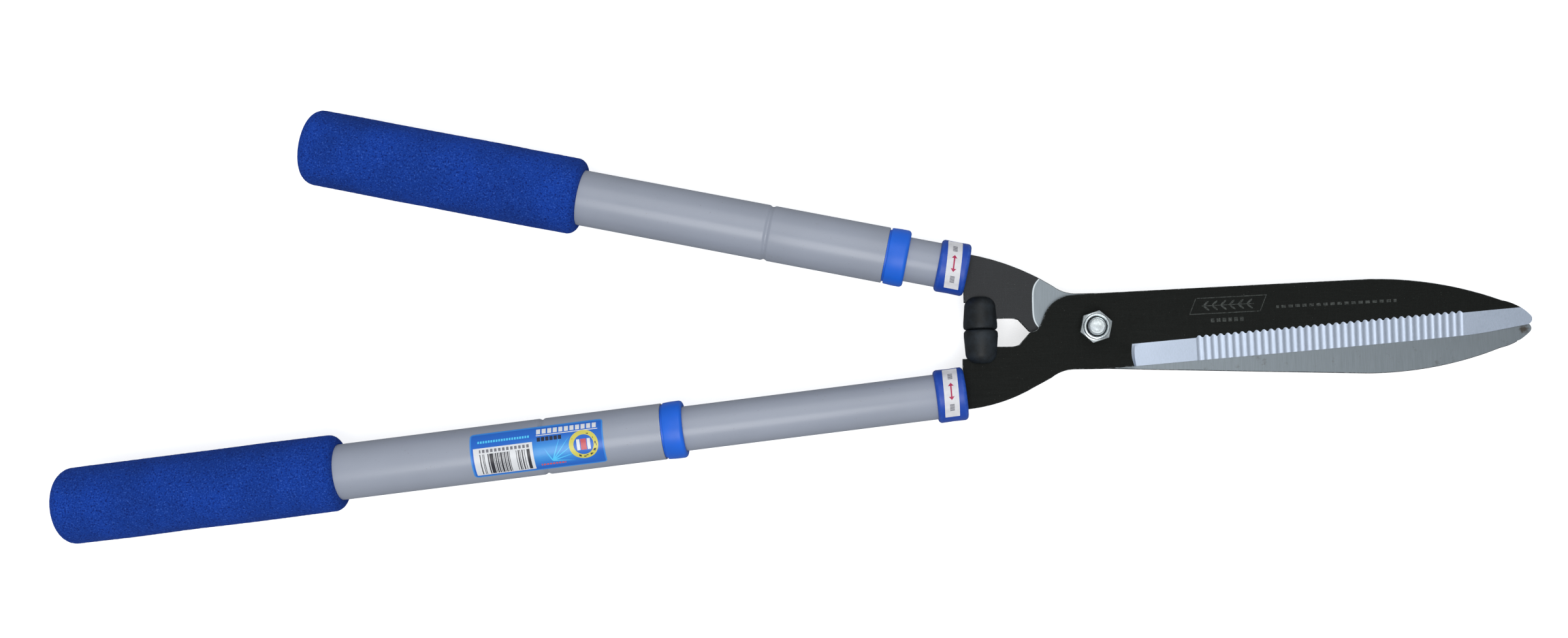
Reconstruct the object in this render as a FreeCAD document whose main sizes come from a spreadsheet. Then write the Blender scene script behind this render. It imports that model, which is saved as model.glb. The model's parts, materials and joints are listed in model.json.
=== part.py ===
"""Telescopic hedge shears with twist locks, as a parametric assembly of separate pieces.

Frame: +Z is the pivot bolt's axis, pointing to the nut.  +X runs from the pivot to the blade tips and +Y
points to the upper handle.  The origin lies on the pivot axis, in the plane where the two blades slide.
The shears are closed, the lower handle is drawn out and the upper handle is pushed almost home.
"""
import FreeCAD, Part
import os
import Sketcher

DOC = FreeCAD.newDocument("HedgeShears")
SHEET = DOC.addObject("Spreadsheet::Sheet", "Dim")
ORIGIN = -1
X_AXIS = -1
Y_AXIS = -2
HEXAGON_TURN = 16
HANDLES = ("lower", "upper")

# Driving dimensions in millimetres and degrees, one alias each.
DIMENSIONS = {
    # Blade plates.  Both are drawn seen from their outer face: spine up, cutting edge down.
    "plate_thickness": 3.5,
    "blade_middle": -2.0,
    "edge_heel_out": 20.3, "edge_heel_up": -22.3,
    "edge_bend_out": 204.5, "edge_bend_up": -7.9,
    "edge_tip_out": 238.2, "edge_tip_up": -2.43,
    "tip_nose_out": 240.6, "tip_nose_up": 0.43,
    "tip_top_out": 239.75, "tip_top_up": 2.48,
    "nose_swell_out": 232.3, "nose_swell_up": 8.0,
    "nose_top_out": 223.6, "nose_top_up": 11.2,
    "belly_swell_out": 190.2, "belly_swell_up": 20.7,
    "belly_out": 150.6, "belly_up": 24.2,
    "spine_out": 2.9, "spine_up": 19.2,
    "shoulder_top_out": -12.0, "shoulder_top_up": 18.4,
    "shoulder_swell_out": -21.8, "shoulder_swell_up": 15.0,
    "shoulder_low_out": -27.2, "shoulder_low_up": 8.6,
    "shoulder_foot_out": -30.0, "shoulder_foot_up": 1.8,
    "crotch_out": -32.6, "crotch_up": -1.2,
    "crotch_end_out": -36.2, "crotch_end_up": -2.4,
    "notch_out": -42.3, "notch_up": -9.2,
    "notch_floor_out": -45.5, "notch_floor_up": -10.0,
    "stop_middle": -63.6,
    "stop_width": 13.0,
    "neck_width": 20.6,
    "underside_out": 6.0, "underside_up": -23.4,
    # Tang of each plate: outer edge from the ferrule round to the underside.
    "lower_swell_out": -53.5, "lower_swell_up": -41.4,
    "lower_waist_out": -33.7, "lower_waist_up": -32.8,
    "lower_hollow_out": -24.8, "lower_hollow_up": -28.1,
    "lower_sweep_out": -20.2, "lower_sweep_up": -25.3,
    "lower_heel_out": -12.5, "lower_heel_up": -23.5,
    "lower_flank": -20.6,
    "lower_stop_tip": -2.6,
    "upper_swell_out": -51.0, "upper_swell_up": -41.9,
    "upper_waist_out": -30.0, "upper_waist_up": -32.5,
    "upper_hollow_out": -22.2, "upper_hollow_up": -27.8,
    "upper_sweep_out": -17.8, "upper_sweep_up": -25.2,
    "upper_heel_out": -10.5, "upper_heel_up": -23.5,
    "upper_flank": -23.4,
    "upper_stop_tip": -5.6,
    # Ground bevel and its flutes.
    "edge_angle": 4.48,
    "edge_land": 0.4,
    "bevel_width": 12.5,
    "bevel_length": 230.0,
    "bevel_angle": 13.93,
    "flute_start": 38.5,
    "flute_pitch": 3.985,
    "flute_count": 37,
    "flute_radius": 4.2,
    "flute_depth": 0.3,
    # Pivot: M10 bolt, washer, nut with a nylon locking ring.
    "bolt_radius": 5.0,
    "pivot_clearance": 0.05,
    "head_flats": 16.0,
    "head_height": 6.4,
    "washer_radius": 10.5,
    "washer_thickness": 2.0,
    "nut_flats": 16.0,
    "nut_height": 7.4,
    "collar_radius": 7.4,
    "collar_height": 2.6,
    "insert_radius": 6.3,
    "insert_height": 2.2,
    "bolt_dome": 1.0,
    "bolt_tip": 3.6,
    # Handle axes.  A root is the middle of the ferrule's front face, and angles turn about +Z.
    "lower_root_out": -72.9, "lower_root_up": -35.9, "lower_angle": 186.35,
    "upper_root_out": -70.3, "upper_root_up": 33.74, "upper_angle": 168.06,
    "lower_mouth": 172.2, "upper_mouth": 47.0,
    "lower_grip_slack": 9.6, "upper_grip_slack": 0.4,
    # Tang end, plug and pin inside the inner tube.
    "tang_width": 18.4,
    "tang_length": 45.0,
    "plug_length": 50.0,
    "pin_radius": 2.0,
    "pin_place": 10.0,
    # Ferrule and its twist label.
    "ferrule_radius": 15.0,
    "ferrule_length": 17.0,
    "ferrule_wall": 3.0,
    "ferrule_round": 1.9,
    "label_thickness": 0.12,
    "label_start": 4.4,
    "label_width": 8.2,
    "label_span": 118.0,
    "lower_label_turn": 2.0, "upper_label_turn": -14.0,
    # Telescopic tubes.
    "inner_radius": 12.7,
    "inner_wall": 1.0,
    "inner_end": 253.5,
    "outer_radius": 16.0,
    "outer_wall": 1.0,
    "outer_length": 339.2,
    "bead_place": 68.3,
    "bead_half": 1.9,
    "bead_depth": 0.5,
    # Guide collar at the outer tube's mouth.
    "guide_gap": 1.0,
    "guide_lip": 12.3,
    "guide_radius": 16.35,
    "guide_round": 2.4,
    "guide_spigot": 20.0,
    "guide_bore": 12.9,
    "spigot_radius": 14.95,
    # Twist lock at the inner tube's end.
    "lock_insert": 25.0,
    "lock_flange": 2.0,
    "cam_radius": 8.2,
    "cam_offset": 1.0,
    "cam_length": 14.0,
    "lock_cap": 2.0,
    "lock_cap_radius": 12.4,
    "ring_radius": 14.85,
    "ring_bore": 9.4,
    "ring_play": 0.2,
    # Foam grip and the tube's end plug.
    "foam_radius": 22.5,
    "foam_length": 166.0,
    "foam_end_wall": 5.0,
    "foam_end_round": 7.0,
    "foam_mouth_round": 5.0,
    "end_plug_length": 12.0,
    "end_plug_flange": 1.5,
    # Rubber stops that meet when the blades close.
    "stop_radius": 9.6,
    "stop_meet": -0.4,
    "stop_gap": 0.1,
    "stop_length": 19.0,
    "stop_dome": 5.0,
    "stop_edge": 1.6,
    # Sticker on the lower outer tube.
    "sticker_start": 204.5,
    "sticker_length": 76.0,
    "sticker_span": 98.0,
    "sticker_turn": -4.0,
}


def fill_sheet():
    """Write every driving dimension to its own cell and give the cell its alias."""
    for row, (alias, value) in enumerate(DIMENSIONS.items(), start=1):
        SHEET.set("A%d" % row, alias)
        SHEET.set("B%d" % row, str(value))
        SHEET.setAlias("B%d" % row, alias)
    DOC.recompute()


def number(expression):
    """Return what an expression over the sheet is worth now, as a plain number."""
    return float(FreeCAD.Units.Quantity(SHEET.evalExpression(expression)).Value)


def at(name):
    """Return the named point as its two cells."""
    return "Dim.%s_out" % name, "Dim.%s_up" % name


def spot(point):
    """Return the sketch position of a point given as two expressions."""
    return FreeCAD.Vector(number(point[0]), number(point[1]), 0)


# ---------------------------------------------------------------- sketches and features

def new_body(label):
    """Return an empty body whose label is the node's name."""
    body = DOC.addObject("PartDesign::Body", label)
    body.Label = label
    return body


def new_sketch(body, name, plane, offset=FreeCAD.Placement()):
    """Return a sketch on one of the body's own origin planes, moved within it by an offset."""
    sketch = body.newObject("Sketcher::SketchObject", body.Label + "_" + name)
    support = [item for item in body.Origin.OriginFeatures if item.Role == plane][0]
    sketch.AttachmentSupport = [(support, "")]
    sketch.MapMode = "FlatFace"
    sketch.AttachmentOffset = offset
    return sketch


def hold(sketch, edge, end, point):
    """Dimension one end of an edge from the sketch's origin, bound to the sheet."""
    for kind, axis, expression in (("DistanceX", Y_AXIS, point[0]), ("DistanceY", X_AXIS, point[1])):
        if expression == "0":
            sketch.addConstraint(Sketcher.Constraint("PointOnObject", edge, end, axis))
        else:
            value = number(expression)
            index = sketch.addConstraint(Sketcher.Constraint(kind, ORIGIN, 1, edge, end, value))
            sketch.setExpression("Constraints[%d]" % index, expression)


def outline(sketch, start, steps):
    """Draw a closed outline.  A step of one point is a line to it, of two is an arc through the first."""
    here = start
    ends = []
    for step in steps:
        target = step[-1]
        if len(step) == 1:
            edge = sketch.addGeometry(Part.LineSegment(spot(here), spot(target)), False)
            ends.append((edge, 1, 2))
        else:
            first, middle, last = spot(here), spot(step[0]), spot(target)
            turns_left = (middle - first).cross(last - middle).z > 0
            if turns_left:
                edge = sketch.addGeometry(Part.Arc(first, middle, last), False)
                ends.append((edge, 1, 2))
            else:
                edge = sketch.addGeometry(Part.Arc(last, middle, first), False)
                ends.append((edge, 2, 1))
            via = sketch.addGeometry(Part.Point(middle), True)
            sketch.addConstraint(Sketcher.Constraint("PointOnObject", via, 1, edge))
            hold(sketch, via, 1, step[0])
        here = target
    for (edge, _, end), (following, begin, _) in zip(ends, ends[1:] + ends[:1]):
        sketch.addConstraint(Sketcher.Constraint("Coincident", edge, end, following, begin))
    for (edge, _, end), step in zip(ends, steps):
        hold(sketch, edge, end, step[-1])


def circle(sketch, point, radius):
    """Draw a circle whose centre and radius are bound to the sheet."""
    shape = Part.Circle(spot(point), FreeCAD.Vector(0, 0, 1), number(radius))
    edge = sketch.addGeometry(shape, False)
    hold(sketch, edge, 3, point)
    index = sketch.addConstraint(Sketcher.Constraint("Radius", edge, number(radius)))
    sketch.setExpression("Constraints[%d]" % index, radius)


def hexagon(sketch, flats):
    """Draw a hexagon about the origin from its width across flats."""
    corner = "%s / 2 / cos(30 deg)" % flats
    turns = [HEXAGON_TURN + 60 * side for side in range(6)]
    corners = [("%s * cos(%d deg)" % (corner, turn), "%s * sin(%d deg)" % (corner, turn)) for turn in turns]
    outline(sketch, corners[-1], [(point,) for point in corners])


def rectangle(sketch, low, high):
    """Draw a rectangle from its low corner to its high corner."""
    outline(sketch, low, [((high[0], low[1]),), (high,), ((low[0], high[1]),), (low,)])


def extrude(body, kind, name, sketch, length, reverse=False, both=False):
    """Add a pad or pocket of a bound length, one way or evenly both ways."""
    feature = body.newObject("PartDesign::" + kind, body.Label + "_" + name)
    feature.Profile = sketch
    feature.Reversed = reverse
    feature.SideType = "Symmetric" if both else "One side"
    feature.Length = number(length)
    feature.setExpression("Length", length)
    DOC.recompute()
    return feature


def cut(body, name, sketch, length, reverse=False, both=False):
    """Add a pocket and make sure that it took material away."""
    before = body.Shape.Volume
    feature = extrude(body, "Pocket", name, sketch, length, reverse, both)
    if feature.Shape.Volume > before - 1e-3:
        raise RuntimeError("%s cuts nothing" % feature.Label)
    return feature


def revolve(body, name, sketch, angle="360"):
    """Turn a sketch about its own horizontal axis, evenly to both sides of its plane."""
    feature = body.newObject("PartDesign::Revolution", body.Label + "_" + name)
    feature.Profile = sketch
    feature.ReferenceAxis = (sketch, ["H_Axis"])
    feature.Midplane = True
    feature.Angle = number(angle)
    feature.setExpression("Angle", angle)
    DOC.recompute()
    return feature


def rounded(x, y, radius, x_side, y_side):
    """Return start, middle and end of a quarter round at a profile corner.

    The sides say which way the material lies: the arc starts on the face that runs along the axis.
    """
    near = "(1 - sin(45 deg))"
    start = ("%s + %d * %s" % (x, x_side, radius), y)
    middle = ("%s + %d * %s * %s" % (x, x_side, radius, near), "%s + %d * %s * %s" % (y, y_side, radius, near))
    end = (x, "%s + %d * %s" % (y, y_side, radius))
    return start, middle, end


def on_handle(body, handle):
    """Place a body that is drawn along +X on its handle's axis, from the ferrule's front face outwards."""
    sign = "" if handle == "lower" else "-"
    body.Placement.Rotation = FreeCAD.Rotation(FreeCAD.Vector(0, 0, 1), number("%s_angle" % handle))
    body.setExpression(".Placement.Rotation.Angle", "Dim.%s_angle" % handle)
    body.setExpression(".Placement.Base.x", "Dim.%s_root_out" % handle)
    body.setExpression(".Placement.Base.y", "Dim.%s_root_up" % handle)
    body.setExpression(".Placement.Base.z", "%sDim.plate_thickness / 2" % sign)


def tilt(axis, angle, base=FreeCAD.Vector()):
    """Return an offset that turns about a sketch axis."""
    return FreeCAD.Placement(base, FreeCAD.Rotation(axis, angle))


# ---------------------------------------------------------------- blades

def blade_plate(label, handle):
    """Build one blade: plate with spine, cutting edge and tang, pivot hole, ground bevel and flutes."""
    body = new_body(label)

    def tang(name):
        return at("%s_%s" % (handle, name))

    stop_left = "Dim.stop_middle - Dim.stop_width / 2"
    stop_right = "Dim.stop_middle + Dim.stop_width / 2"
    stop_tip = "Dim.%s_stop_tip" % handle
    root, across, along = handle_frame(handle)
    face_low = root_point(root, along, across, "0", "-Dim.tang_width / 2")
    face_high = root_point(root, along, across, "0", "Dim.neck_width - Dim.tang_width / 2")
    flank = (face_high[0], "Dim.%s_flank" % handle)

    sketch = new_sketch(body, "outline", "XY_Plane")
    outline(sketch, at("edge_heel"), [
        (at("edge_bend"),),
        (at("edge_tip"),),
        (at("tip_nose"), at("tip_top")),
        (at("nose_swell"), at("nose_top")),
        (at("belly_swell"), at("belly")),
        (at("spine"),),
        (at("shoulder_top"),),
        (at("shoulder_swell"), at("shoulder_low")),
        (at("shoulder_foot"),),
        (at("crotch"),),
        (at("crotch_end"),),
        (at("notch"),),
        (at("notch_floor"),),
        ((stop_right, "Dim.notch_floor_up"),),
        ((stop_right, stop_tip),),
        ((stop_left, stop_tip),),
        ((stop_left, "Dim.%s_flank" % handle),),
        (flank,),
        (face_high,),
        (face_low,),
        (tang("swell"), tang("waist")),
        (tang("hollow"),),
        (tang("sweep"), tang("heel")),
        (at("underside"),),
        (at("edge_heel"),),
    ])
    extrude(body, "Pad", "plate", sketch, "Dim.plate_thickness")

    sketch = new_sketch(body, "tang_outline", "XY_Plane")
    inner_low = root_point(root, along, across, "Dim.tang_length", "-Dim.tang_width / 2")
    inner_high = root_point(root, along, across, "Dim.tang_length", "Dim.tang_width / 2")
    outer_low = root_point(root, along, across, "-1", "-Dim.tang_width / 2")
    outer_high = root_point(root, along, across, "-1", "Dim.tang_width / 2")
    outline(sketch, inner_low, [(outer_low,), (outer_high,), (inner_high,), (inner_low,)])
    extrude(body, "Pad", "tang", sketch, "Dim.plate_thickness")

    holes = new_sketch(body, "holes", "XY_Plane")
    circle(holes, pivot_in_plate(handle), "Dim.bolt_radius + Dim.pivot_clearance")
    circle(holes, root_point(root, along, across, "Dim.pin_place", "0"), "Dim.pin_radius")
    cut(body, "pivot_hole", holes, "Dim.plate_thickness", reverse=True)

    grind_bevel(body)
    body.setExpression(".Placement.Base.y", "2 * Dim.blade_middle" if handle == "upper" else "0")
    if handle == "upper":
        body.Placement.Rotation = FreeCAD.Rotation(FreeCAD.Vector(1, 0, 0), 180)
    return body


def handle_frame(handle):
    """Return a handle's root and directions across and along it, in the drawing frame of its plate."""
    if handle == "lower":
        root = at("lower_root")
        angle = "Dim.lower_angle * 1 deg"
    else:
        root = ("Dim.upper_root_out", "(2 * Dim.blade_middle - Dim.upper_root_up)")
        angle = "-Dim.upper_angle * 1 deg"
    along = ("cos(%s)" % angle, "sin(%s)" % angle)
    across = ("sin(%s)" % angle, "-cos(%s)" % angle)
    return root, across, along


def root_point(root, along, across, distance, side):
    """Return the point at a distance along a handle from its root and to one side of its axis."""
    return tuple("%s + (%s) * %s + (%s) * %s" % (root[i], distance, along[i], side, across[i]) for i in (0, 1))


def pivot_in_plate(handle):
    """Return the pivot's centre in the drawing frame of a plate."""
    return ("0", "0") if handle == "lower" else ("0", "2 * Dim.blade_middle")


def grind_bevel(body):
    """Cut the straight bevel along the cutting edge and a row of flutes across the middle of it."""
    heel = FreeCAD.Vector(number("Dim.edge_heel_up"), 0, number("Dim.edge_heel_out"))
    edge_turn = FreeCAD.Rotation(FreeCAD.Vector(0, 1, 0), number("Dim.edge_angle"))
    sketch = new_sketch(body, "bevel_outline", "YZ_Plane", FreeCAD.Placement(heel, edge_turn))
    slope = "tan(Dim.bevel_angle * 1 deg)"
    low = ("-Dim.plate_thickness", "Dim.edge_land - Dim.plate_thickness * %s" % slope)
    top = ("2 * Dim.bevel_width", "Dim.edge_land + 2 * Dim.bevel_width * %s" % slope)
    outline(sketch, low, [(top,), ((low[0], top[1]),), (low,)])
    cut(body, "bevel", sketch, "Dim.bevel_length", reverse=True)

    slope_turn = FreeCAD.Rotation(FreeCAD.Vector(1, 0, 0), number("Dim.bevel_angle"))
    edge_direction = FreeCAD.Rotation(FreeCAD.Vector(0, 0, 1), number("Dim.edge_angle"))
    start = FreeCAD.Vector(number("Dim.edge_heel_out"), number("Dim.edge_heel_up"), number("Dim.edge_land"))
    place = FreeCAD.Placement(start, edge_direction * slope_turn * FreeCAD.Rotation(FreeCAD.Vector(1, 0, 0), 90))
    flute = new_sketch(body, "flute_outline", "XY_Plane", place)
    circle(flute, ("Dim.flute_start", "Dim.flute_radius - Dim.flute_depth"), "Dim.flute_radius")
    pocket = cut(body, "flute", flute, "4 * Dim.bevel_width", both=True)
    row = body.newObject("PartDesign::LinearPattern", body.Label + "_flutes")
    row.Originals = [pocket]
    row.Direction = (flute, ["H_Axis"])
    row.Mode = "Extent"
    row.Occurrences = int(number("Dim.flute_count"))
    row.Length = number("Dim.flute_pitch * (Dim.flute_count - 1)")
    row.setExpression("Occurrences", "Dim.flute_count")
    row.setExpression("Length", "Dim.flute_pitch * (Dim.flute_count - 1)")
    body.Tip = row
    DOC.recompute()


# ---------------------------------------------------------------- pivot

def pivot_bolt():
    """Build the M10 bolt: hexagon head behind the rear blade, shank through both, domed end in the nut."""
    body = new_body("pivot_bolt")
    back = "-(Dim.plate_thickness + Dim.washer_thickness)"
    end = "Dim.plate_thickness + Dim.nut_height + Dim.collar_height"
    tip = "%s + Dim.bolt_dome" % end
    swell = ("Dim.bolt_tip + (Dim.bolt_radius - Dim.bolt_tip) * sin(45 deg)",
             "%s + Dim.bolt_dome * sin(45 deg)" % end)
    profile = new_sketch(body, "shank_outline", "XZ_Plane")
    outline(profile, ("0", back), [
        (("Dim.bolt_radius", back),),
        (("Dim.bolt_radius", end),),
        (swell, ("Dim.bolt_tip", tip)),
        (("0", tip),),
        (("0", back),),
    ])
    shank = body.newObject("PartDesign::Revolution", "pivot_bolt_shank")
    shank.Profile = profile
    shank.ReferenceAxis = (profile, ["V_Axis"])
    shank.Angle = 360
    DOC.recompute()
    offset = FreeCAD.Placement(FreeCAD.Vector(0, 0, number(back)), FreeCAD.Rotation())
    head = new_sketch(body, "head_outline", "XY_Plane", offset)
    hexagon(head, "Dim.head_flats")
    extrude(body, "Pad", "head", head, "Dim.head_height", reverse=True)
    return body


def flat_ring(label, outer, inner, low, height):
    """Build a flat ring about the pivot axis."""
    body = new_body(label)
    sketch = new_sketch(body, "outline", "XY_Plane")
    circle(sketch, ("0", "0"), outer)
    circle(sketch, ("0", "0"), inner)
    extrude(body, "Pad", "ring", sketch, height)
    body.setExpression(".Placement.Base.z", low)
    return body


def pivot_nut():
    """Build the locking nut: hexagon below, round collar above with a pocket for the nylon ring."""
    body = new_body("pivot_nut")
    sketch = new_sketch(body, "hexagon", "XY_Plane")
    hexagon(sketch, "Dim.nut_flats")
    extrude(body, "Pad", "hexagon_pad", sketch, "Dim.nut_height")
    collar = new_sketch(body, "collar_outline", "XY_Plane")
    circle(collar, ("0", "0"), "Dim.collar_radius")
    extrude(body, "Pad", "collar", collar, "Dim.nut_height + Dim.collar_height")
    bore = new_sketch(body, "bore_outline", "XY_Plane")
    circle(bore, ("0", "0"), "Dim.bolt_radius")
    cut(body, "bore", bore, "Dim.nut_height + Dim.collar_height", reverse=True)
    offset = FreeCAD.Placement(FreeCAD.Vector(0, 0, number("Dim.nut_height + Dim.collar_height")),
                               FreeCAD.Rotation())
    seat = new_sketch(body, "seat_outline", "XY_Plane", offset)
    circle(seat, ("0", "0"), "Dim.insert_radius")
    cut(body, "seat", seat, "Dim.insert_height")
    body.setExpression(".Placement.Base.z", "Dim.plate_thickness")
    return body


# ---------------------------------------------------------------- handles

def ferrule(handle):
    """Build the plastic collar that closes the inner tube around the tang."""
    body = new_body(handle + "_ferrule")
    profile = new_sketch(body, "profile", "XZ_Plane")
    front = rounded("0", "Dim.ferrule_radius", "Dim.ferrule_round", 1, -1)
    rear = rounded("Dim.ferrule_length", "Dim.ferrule_radius", "Dim.ferrule_round", -1, -1)
    outline(profile, ("0", "0"), [
        (front[2],),
        (front[1], front[0]),
        (rear[0],),
        (rear[1], rear[2]),
        (("Dim.ferrule_length", "Dim.inner_radius"),),
        (("Dim.ferrule_wall", "Dim.inner_radius"),),
        (("Dim.ferrule_wall", "0"),),
        (("0", "0"),),
    ])
    revolve(body, "shell", profile)
    slot = new_sketch(body, "slot_outline", "XY_Plane")
    rectangle(slot, ("-1", "-Dim.tang_width / 2"), ("2 * Dim.ferrule_wall", "Dim.tang_width / 2"))
    cut(body, "slot", slot, "Dim.plate_thickness", both=True)
    on_handle(body, handle)
    return body


def wrap(label, handle, start, width, radius, span, turn):
    """Build a thin label wrapped on a round surface over part of its girth."""
    body = new_body(label)
    offset = tilt(FreeCAD.Vector(1, 0, 0), number(turn))
    profile = new_sketch(body, "profile", "XZ_Plane", offset)
    rectangle(profile, (start, radius), ("%s + %s" % (start, width), "%s + Dim.label_thickness" % radius))
    revolve(body, "sheet", profile, span)
    on_handle(body, handle)
    return body


def tang_plug(handle):
    """Build the plug that fills the inner tube round the tang, slotted for it and drilled for the pin."""
    body = new_body(handle + "_tang_plug")
    profile = new_sketch(body, "profile", "XZ_Plane")
    rectangle(profile, ("Dim.ferrule_wall", "0"), ("Dim.plug_length", "Dim.inner_radius - Dim.inner_wall"))
    revolve(body, "core", profile)
    slot = new_sketch(body, "slot_outline", "XY_Plane")
    rectangle(slot, ("0", "-Dim.tang_width / 2"), ("Dim.tang_length", "Dim.tang_width / 2"))
    cut(body, "slot", slot, "Dim.plate_thickness", both=True)
    drill_pin_hole(body)
    on_handle(body, handle)
    return body


def drill_pin_hole(body):
    """Drill the cross hole for the tang's pin."""
    hole = new_sketch(body, "pin_hole_outline", "XY_Plane")
    circle(hole, ("Dim.pin_place", "0"), "Dim.pin_radius")
    cut(body, "pin_hole", hole, "4 * Dim.inner_radius", both=True)


def tang_pin(handle):
    """Build the pin through tube, plug and tang, hidden by the ferrule."""
    body = new_body(handle + "_tang_pin")
    sketch = new_sketch(body, "outline", "XY_Plane")
    circle(sketch, ("Dim.pin_place", "0"), "Dim.pin_radius")
    extrude(body, "Pad", "pin", sketch, "2 * Dim.inner_radius - 2 * Dim.ring_play", both=True)
    on_handle(body, handle)
    return body


def inner_tube(handle):
    """Build the thin tube that carries the blade's tang at one end and the twist lock at the other."""
    body = new_body(handle + "_inner_tube")
    profile = new_sketch(body, "profile", "XZ_Plane")
    rectangle(profile, ("Dim.ferrule_wall", "Dim.inner_radius - Dim.inner_wall"),
              ("Dim.inner_end", "Dim.inner_radius"))
    revolve(body, "tube", profile)
    drill_pin_hole(body)
    on_handle(body, handle)
    return body


def outer_tube(handle):
    """Build the outer tube with its rolled bead, the stop for the twist lock."""
    body = new_body(handle + "_outer_tube")
    mouth = "Dim.%s_mouth" % handle
    end = "%s + Dim.outer_length" % mouth
    bead = "%s + Dim.bead_place" % mouth
    bore = "Dim.outer_radius - Dim.outer_wall"
    profile = new_sketch(body, "profile", "XZ_Plane")
    outline(profile, (mouth, bore), [
        (("%s - Dim.bead_half" % bead, bore),),
        ((bead, "%s - Dim.bead_depth" % bore), ("%s + Dim.bead_half" % bead, bore)),
        ((end, bore),),
        ((end, "Dim.outer_radius"),),
        (("%s + Dim.bead_half" % bead, "Dim.outer_radius"),),
        ((bead, "Dim.outer_radius - Dim.bead_depth"), ("%s - Dim.bead_half" % bead, "Dim.outer_radius")),
        ((mouth, "Dim.outer_radius"),),
        ((mouth, bore),),
    ])
    revolve(body, "tube", profile)
    on_handle(body, handle)
    return body


def guide_collar(handle):
    """Build the plastic collar in the outer tube's mouth, which guides the inner tube."""
    body = new_body(handle + "_guide_collar")
    mouth = "Dim.%s_mouth" % handle
    lip = "%s - Dim.guide_lip" % mouth
    back = "%s - Dim.guide_gap" % mouth
    nose = rounded(lip, "Dim.guide_radius", "Dim.guide_round", 1, -1)
    profile = new_sketch(body, "profile", "XZ_Plane")
    outline(profile, (lip, "Dim.guide_bore"), [
        (nose[2],),
        (nose[1], nose[0]),
        ((back, "Dim.outer_radius"),),
        ((back, "Dim.spigot_radius"),),
        (("%s + Dim.guide_spigot" % mouth, "Dim.spigot_radius"),),
        (("%s + Dim.guide_spigot" % mouth, "Dim.guide_bore"),),
        ((lip, "Dim.guide_bore"),),
    ])
    revolve(body, "collar", profile)
    on_handle(body, handle)
    return body


def lock_plug(handle):
    """Build the twist lock's core: plug in the inner tube, flange, off-centre cam and end cap."""
    body = new_body(handle + "_lock_plug")
    profile = new_sketch(body, "profile", "XZ_Plane")
    cam_start = "Dim.inner_end + Dim.lock_flange"
    outline(profile, ("Dim.inner_end - Dim.lock_insert", "0"), [
        (("Dim.inner_end - Dim.lock_insert", "Dim.inner_radius - Dim.inner_wall"),),
        (("Dim.inner_end", "Dim.inner_radius - Dim.inner_wall"),),
        (("Dim.inner_end", "Dim.inner_radius"),),
        ((cam_start, "Dim.inner_radius"),),
        ((cam_start, "0"),),
        (("Dim.inner_end - Dim.lock_insert", "0"),),
    ])
    revolve(body, "core", profile)
    for name, radius, centre, start, length in (
            ("cam", "Dim.cam_radius", "Dim.cam_offset", cam_start, "Dim.cam_length"),
            ("cap", "Dim.lock_cap_radius", "0", cam_start + " + Dim.cam_length", "Dim.lock_cap")):
        offset = FreeCAD.Placement(FreeCAD.Vector(0, 0, number(start)), FreeCAD.Rotation())
        sketch = new_sketch(body, name + "_outline", "YZ_Plane", offset)
        circle(sketch, ("0", centre), radius)
        extrude(body, "Pad", name, sketch, length)
    on_handle(body, handle)
    return body


def lock_ring(handle):
    """Build the ring that turns on the cam and grips the outer tube."""
    body = new_body(handle + "_lock_ring")
    profile = new_sketch(body, "profile", "XZ_Plane")
    start = "Dim.inner_end + Dim.lock_flange + Dim.ring_play"
    stop = "Dim.inner_end + Dim.lock_flange + Dim.cam_length - Dim.ring_play"
    rectangle(profile, (start, "Dim.ring_bore"), (stop, "Dim.ring_radius"))
    revolve(body, "ring", profile)
    on_handle(body, handle)
    return body


def foam_grip(handle):
    """Build the foam sleeve: closed rounded end, soft lip at the tube."""
    body = new_body(handle + "_foam_grip")
    tube_end = "Dim.%s_mouth + Dim.outer_length" % handle
    end = "%s + Dim.%s_grip_slack + Dim.foam_end_wall" % (tube_end, handle)
    mouth = "%s - Dim.foam_length" % end
    lip = rounded(mouth, "Dim.foam_radius", "Dim.foam_mouth_round", 1, -1)
    heel = rounded(end, "Dim.foam_radius", "Dim.foam_end_round", -1, -1)
    profile = new_sketch(body, "profile", "XZ_Plane")
    outline(profile, (mouth, "Dim.outer_radius"), [
        (lip[2],),
        (lip[1], lip[0]),
        (heel[0],),
        (heel[1], heel[2]),
        ((end, "0"),),
        (("%s - Dim.foam_end_wall" % end, "0"),),
        (("%s - Dim.foam_end_wall" % end, "Dim.outer_radius"),),
        ((mouth, "Dim.outer_radius"),),
    ])
    revolve(body, "sleeve", profile)
    on_handle(body, handle)
    return body


def end_plug(handle):
    """Build the plug that closes the outer tube inside the grip."""
    body = new_body(handle + "_end_plug")
    end = "Dim.%s_mouth + Dim.outer_length" % handle
    profile = new_sketch(body, "profile", "XZ_Plane")
    rectangle(profile, ("%s - Dim.end_plug_length" % end, "0"), (end, "Dim.outer_radius - Dim.outer_wall"))
    revolve(body, "plug", profile)
    on_handle(body, handle)
    return body


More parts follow.
